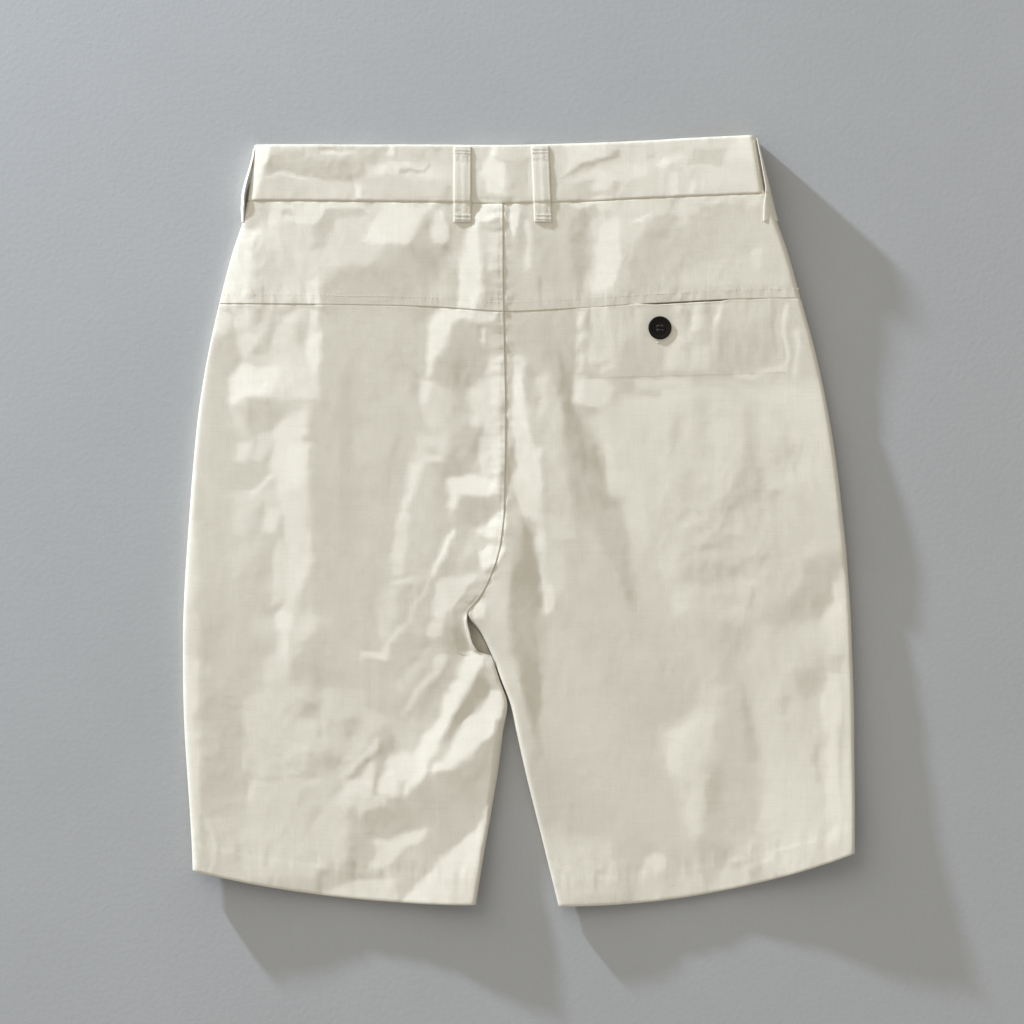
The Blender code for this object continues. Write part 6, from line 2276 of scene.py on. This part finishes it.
@dataclass
class Repeats:
    """A geometry tree that sets small shapes along lines: its sizes are inputs, and its jitter has a seed."""

    name: str
    material: bpy.types.Material
    size: tuple[float, float, float]
    pitch: float
    jitter: float = 0.12
    seed: int = 4

    INPUTS = {
        "Lines": "Geometry",
        "Pitch": "Float",
        "Size": "Vector",
        "Jitter": "Float",
        "Seed": "Int",
        "Finish": "Material",
    }

    def tree(self) -> bpy.types.GeometryNodeTree:
        """The node tree."""
        group = bpy.data.node_groups.new(self.name, "GeometryNodeTree")
        for label, kind in self.INPUTS.items():
            group.interface.new_socket(label, in_out="INPUT", socket_type=f"NodeSocket{kind}")
        group.interface.new_socket("Shapes", in_out="OUTPUT", socket_type="NodeSocketGeometry")
        tree = Tree(group)
        given = tree.add("NodeGroupInput").outputs
        curve = tree.add("GeometryNodeMeshToCurve", Mesh=given["Lines"]).outputs[0]
        by_pitch = {"mode": "LENGTH"}
        points = tree.add("GeometryNodeCurveToPoints", by_pitch, Curve=curve, Length=given["Pitch"]).outputs
        ball = tree.add("GeometryNodeMeshUVSphere", Segments=8, Rings=6, Radius=0.5).outputs["Mesh"]
        smoothed = tree.add("GeometryNodeSetShadeSmooth", Geometry=ball).outputs[0]
        onto_x = {"axis": "X", "pivot_axis": "AUTO"}
        along = tree.add("FunctionNodeAlignRotationToVector", onto_x, Vector=points["Tangent"]).outputs[0]
        drawn = tree.add("FunctionNodeRandomValue", {"data_type": "FLOAT"}, Seed=given["Seed"])
        drawn.inputs[2].default_value, drawn.inputs[3].default_value = -1.0, 1.0
        swing = tree.math("MULTIPLY", drawn.outputs[1], given["Jitter"])
        turn = tree.add("ShaderNodeCombineXYZ", Z=swing).outputs[0]
        local = {"rotation_space": "LOCAL"}
        turned = tree.add("FunctionNodeRotateRotation", local, Rotation=along, Rotate_By=turn).outputs[0]
        placed = tree.add(
            "GeometryNodeInstanceOnPoints",
            Points=points["Points"],
            Instance=smoothed,
            Rotation=turned,
            Scale=given["Size"],
        ).outputs[0]
        real = tree.add("GeometryNodeRealizeInstances", Geometry=placed).outputs[0]
        finished = tree.add("GeometryNodeSetMaterial", Geometry=real, Material=given["Finish"]).outputs[0]
        tree.feed(tree.add("NodeGroupOutput").inputs[0], finished)
        return group

    def build(self, lines: list[Array], slot: str) -> bpy.types.Object:
        """Sets the shapes along lines of points.

        Args:
            lines: Each line's points, in millimetres.
            slot: The record's material slot.

        Returns:
            The dressed piece.
        """
        mesh = bpy.data.meshes.new(self.name + "_lines")
        edges, first = [], 0
        for line in lines:
            edges += [(first + k, first + k + 1) for k in range(len(line) - 1)]
            first += len(line)
        mesh.from_pydata((np.concatenate(lines) * MM).tolist(), edges, [])
        carrier = add_object(mesh.name, mesh)
        modifier = carrier.modifiers.new("repeats", "NODES")
        modifier.node_group = self.tree()
        values = {
            "Pitch": self.pitch * MM,
            "Size": tuple(s * MM for s in self.size),
            "Jitter": self.jitter,
            "Seed": self.seed,
            "Finish": self.material,
        }
        for item in modifier.node_group.interface.items_tree:
            if item.name in values:
                modifier[item.identifier] = values[item.name]
        made = carried_out(carrier)
        made.name = self.name
        return dress(add_object(self.name, made), self.material, slot)


@dataclass
class Sewing:
    """Every visible row of stitches, laid on the cloth."""

    pattern: Pattern
    relief: Relief
    finishes: Finishes
    pitch: float = 2.9
    stitch: tuple[float, float, float] = (2.2, 0.48, 0.4)
    blind_pitch: float = 8.7
    blind_stitch: tuple[float, float, float] = (1.1, 0.42, 0.34)
    whip_pitch: float = 0.55
    whip_stitch: tuple[float, float, float] = (0.5, 1.5, 0.6)
    sunk: float = 0.27
    centre_ends: tuple[float, float] = (237.5, -60.0)      # the centre row's ends, along Y
    yoke_ends: tuple = ((-221.0, -15.5), (-9.5, 209.0))    # the ends of the yokes' rows, along X
    yoke_in: float = 6.6             # the yokes' rows run this far above the seam
    hem_in: float = 7.0              # the hems' rows stop this far from their ends
    hole: tuple[float, float] = (133.9, 136.3)     # the buttonhole's part below the button, along Y

    def on(self, face: Callable[[Array, Array, Side], Array], side: Side, x: Array, y: Array) -> Array:
        """A line on a panel's outer face, as points."""
        x, y = np.broadcast_arrays(np.asarray(x, float), np.asarray(y, float))
        return np.stack([x, y, face(x, y, side) + self.stitch[2] / 2 - self.sunk], axis=-1)

    def row(self, name: str, lines: list[Array], seed: int) -> bpy.types.Object:
        """One piece of plain stitches."""
        return Repeats(name, self.finishes.thread, self.stitch, self.pitch, seed=seed).build(lines, "linen")

    def build(self) -> None:
        """Makes every row."""
        self.centre_seam()
        self.yokes()
        self.pocket()
        self.hems()
        self.buttonhole()

    def centre_seam(self) -> None:
        """The row down the centre back."""
        relief, yoke_y = self.relief, float(self.pattern.yoke_seam(-12.0))
        top, low = self.centre_ends
        lines = []
        for face, y in (
            (relief.yoke, np.linspace(top, yoke_y + 1, 60)),
            (relief.leg, np.linspace(yoke_y - 1.2, low, 160)),
        ):
            lines.append(self.on(face, Side.LEFT, self.pattern.seat[Side.LEFT](y) - relief.stitch_in, y))
        self.row("stitches_centre_seam", lines, 5)

    def yokes(self) -> None:
        """The rows along the lower edge of the yokes."""
        lines = []
        for side, ends in zip(Side, self.yoke_ends):
            x = np.linspace(*ends, 150)
            lines.append(self.on(self.relief.yoke, side, x, self.pattern.yoke_seam(x) + self.yoke_in))
        self.row("stitches_yokes", lines, 6)

    def pocket(self) -> None:
        """The outline of the pocket: down its left side, along its lower edge and down its right side."""
        pocket, leg = self.relief.pocket, self.relief.leg
        across = np.linspace(pocket.left, pocket.right, 110)
        lines = [self.on(leg, Side.RIGHT, across, pocket.low_edge(across))]
        for at, x, low in ((0, pocket.left, pocket.low_left), (2, pocket.right, pocket.low_right)):
            down = np.linspace(self.pattern.yoke_seam(x) - 1, low, 40)
            lines.insert(at, self.on(leg, Side.RIGHT, x + 0 * down, down))
        self.row("stitches_pocket", lines, 7)

    def hems(self) -> None:
        """The blind stitches of the hems."""
        lines = []
        for side in Side:
            hem = self.pattern.hem_of[side]
            low_y = hem.inner_y + hem.depth
            ends = float(self.pattern.side[side](low_y + hem.climb)), float(self.pattern.seat[side](low_y))
            x = np.linspace(min(ends) + self.hem_in, max(ends) - self.hem_in, 180)
            lines.append(self.on(self.relief.leg, side, x, self.pattern.hem[side](x) + hem.depth))
        blind = Repeats("stitches_hems", self.finishes.thread, self.blind_stitch, self.blind_pitch, seed=8)
        blind.build(lines, "linen")

    def buttonhole(self) -> None:
        """The whipped edge of the buttonhole where it shows below the button."""
        x, (low, high), leg = self.relief.pocket.button_at[0] - 0.4, self.hole, self.relief.leg
        down, over = np.linspace(high, low + 0.4, 12), np.linspace(-1.7, 1.7, 12)
        lines = [self.on(leg, Side.RIGHT, x + off + 0 * down, down) for off in (-1.1, 1.1)]
        lines.append(self.on(leg, Side.RIGHT, x + over, low + 0 * over))
        finish, name = self.finishes.thread, "stitches_buttonhole"
        whipped = Repeats(name, finish, self.whip_stitch, self.whip_pitch, jitter=0.2, seed=10)
        whipped.build(lines, "linen")


@dataclass
class Zip(Cloth):
    """The closed zip behind the fly: its tape and its teeth."""

    tape_width: float = 24.0
    tape_wall: float = 0.75
    tape_z: float = 4.25
    teeth_z: float = 4.4
    end_y: float = 90.0
    tooth: tuple[float, float, float] = (0.7, 4.2, 0.9)
    tooth_pitch: float = 1.3

    def build(self, prop: Height) -> None:
        """Makes and dresses the tape and the teeth, over what props the front up."""
        y = np.linspace(float(self.pattern.waist_seam(self.front_x)) - 2, self.end_y, 75)[:, None]
        x = self.front_x + np.linspace(-self.tape_width / 2, self.tape_width / 2, 13)[None, :] + 0 * y
        y = y + 0 * x
        tape = Shell(np.stack([x, y, prop(x, y) + self.tape_z], axis=-1), self.tape_wall + 0 * x)
        dress(tape.build("zip_tape"), self.finishes.tape, "zip_tape", CUTS["zip_tape"].node)
        line_y = np.linspace(float(y[0, 0]) - 3, self.end_y + 4, 80)
        line_x = self.front_x + 0 * line_y
        line = np.stack([line_x, line_y, prop(line_x, line_y) + self.teeth_z], axis=-1)
        teeth = Repeats("zip_teeth", self.finishes.teeth, self.tooth, self.tooth_pitch, jitter=0.0, seed=1)
        teeth.build([line], "zip_tape")


# ---------------------------------------------------------------- stage, light and camera


@dataclass(frozen=True)
class Studio:
    """The surface, one low lamp towards the upper left, an even fill, and a camera straight above."""

    floor_size: float = 30.0
    lamp_at: tuple[float, float, float] = (-1.724, 1.946, 0.416)
    lamp_power: float = 374.0
    lamp_size: float = 0.06
    lamp_colour: tuple[float, float, float] = (0.915, 1.06, 1.28)
    lamp_cone: float = 46.0
    lamp_blend: float = 0.6
    fill_colour: tuple[float, float, float] = (0.291, 0.292, 0.288)
    fill_strength: float = 1.46
    soft_strength: float = 0.9
    soft_colour: tuple[float, float, float] = (0.95, 0.94, 0.91)
    soft_elevation: float = 35.0
    soft_angle: float = 50.0
    camera_height: float = 2.6
    lens: float = 121.5
    sensor: float = 36.0
    centre: tuple[float, float] = (-0.004875, 0.007125)

    def build(self) -> None:
        """Makes the stage, the lights and the camera."""
        self.floor()
        lamp = self.light(
            "low lamp",
            "SPOT",
            -Vector(self.lamp_at),
            color=self.lamp_colour,
            energy=self.lamp_power,
            shadow_soft_size=self.lamp_size,
            spot_size=math.radians(self.lamp_cone),
            spot_blend=self.lamp_blend,
        )
        lamp.location, lamp.visible_camera = self.lamp_at, False
        elevation = math.radians(self.soft_elevation)
        flat = Vector((-self.lamp_at[0], -self.lamp_at[1], 0)).normalized() * math.cos(elevation)
        beam = flat - Vector((0, 0, math.sin(elevation)))
        angle = math.radians(self.soft_angle)
        colour, strength = self.soft_colour, self.soft_strength
        self.light("soft side light", "SUN", beam, color=colour, energy=strength, angle=angle)
        world = bpy.data.worlds.new("even fill")
        world.use_nodes = True
        background = world.node_tree.nodes["Background"]
        background.inputs["Color"].default_value = (*self.fill_colour, 1.0)
        background.inputs["Strength"].default_value = self.fill_strength
        lens = bpy.data.cameras.new("camera")
        lens.lens, lens.sensor_width, lens.clip_end = self.lens, self.sensor, 100.0
        camera = add_object("camera", lens)
        camera.location = (*self.centre, self.camera_height)
        scene = bpy.context.scene
        scene.world, scene.camera = world, camera
        scene.view_settings.view_transform = "Standard"

    def floor(self) -> None:
        """The surface that the shorts lie on."""
        half = self.floor_size / 2
        mesh = bpy.data.meshes.new("surface")
        corners = [(-half, -half, 0), (half, -half, 0), (half, half, 0), (-half, half, 0)]
        mesh.from_pydata(corners, [], [(0, 1, 2, 3)])
        mesh.materials.append(Plaster(self.lamp_at[:2]).make())
        add_object("surface", mesh)

    def light(self, name: str, kind: str, beam: Vector, **settings: object) -> bpy.types.Object:
        """A light that shines along a beam.

        Args:
            name: The light's name.
            kind: Its type.
            beam: The direction that it shines in.
            settings: Its other properties.

        Returns:
            The light.
        """
        data = bpy.data.lights.new(name, kind)
        for key, value in settings.items():
            setattr(data, key, value)
        light = add_object(name, data)
        light.rotation_euler = beam.to_track_quat("-Z", "Y").to_euler()
        return light


# ---------------------------------------------------------------- the whole


def main() -> None:
    """Builds the shorts, the lights and the camera."""
    logging.basicConfig(level=logging.INFO, format="%(message)s")
    pattern = Pattern()
    relief = Relief(pattern)
    finishes = Finishes()
    shared = (pattern, relief, finishes)
    back, front, yokes = BackLegs(*shared), FrontLegs(*shared), Yokes(*shared)
    band, loops = Waistband(*shared), Loops(*shared)
    for side in Side:
        back.build(side)
        front.build(side)
        yokes.build(side)
        band.build_front(side, front.prop)
        loops.build_back(side)
        loops.build_front(side)
        loops.build_side(side)
    loops.build_tacks()
    band.build_back()
    PocketLayer(*shared).build()
    pocket_x, pocket_y = relief.pocket.button_at
    seat_z = float(relief.button_seat(pocket_x, pocket_y)) + relief.seat_ease
    slope = relief.pocket.button_slope
    Button("pocket_button", (pocket_x, pocket_y, seat_z), 1.0, False, finishes, slope).build()
    Button("waist_button", (front.front_x, WAIST_BUTTON_Y, 0.0), 1.8, True, finishes).build()
    Zip(*shared).build(front.prop)
    Sewing(*shared).build()
    Studio().build()


if __name__ == "__main__":
    main()
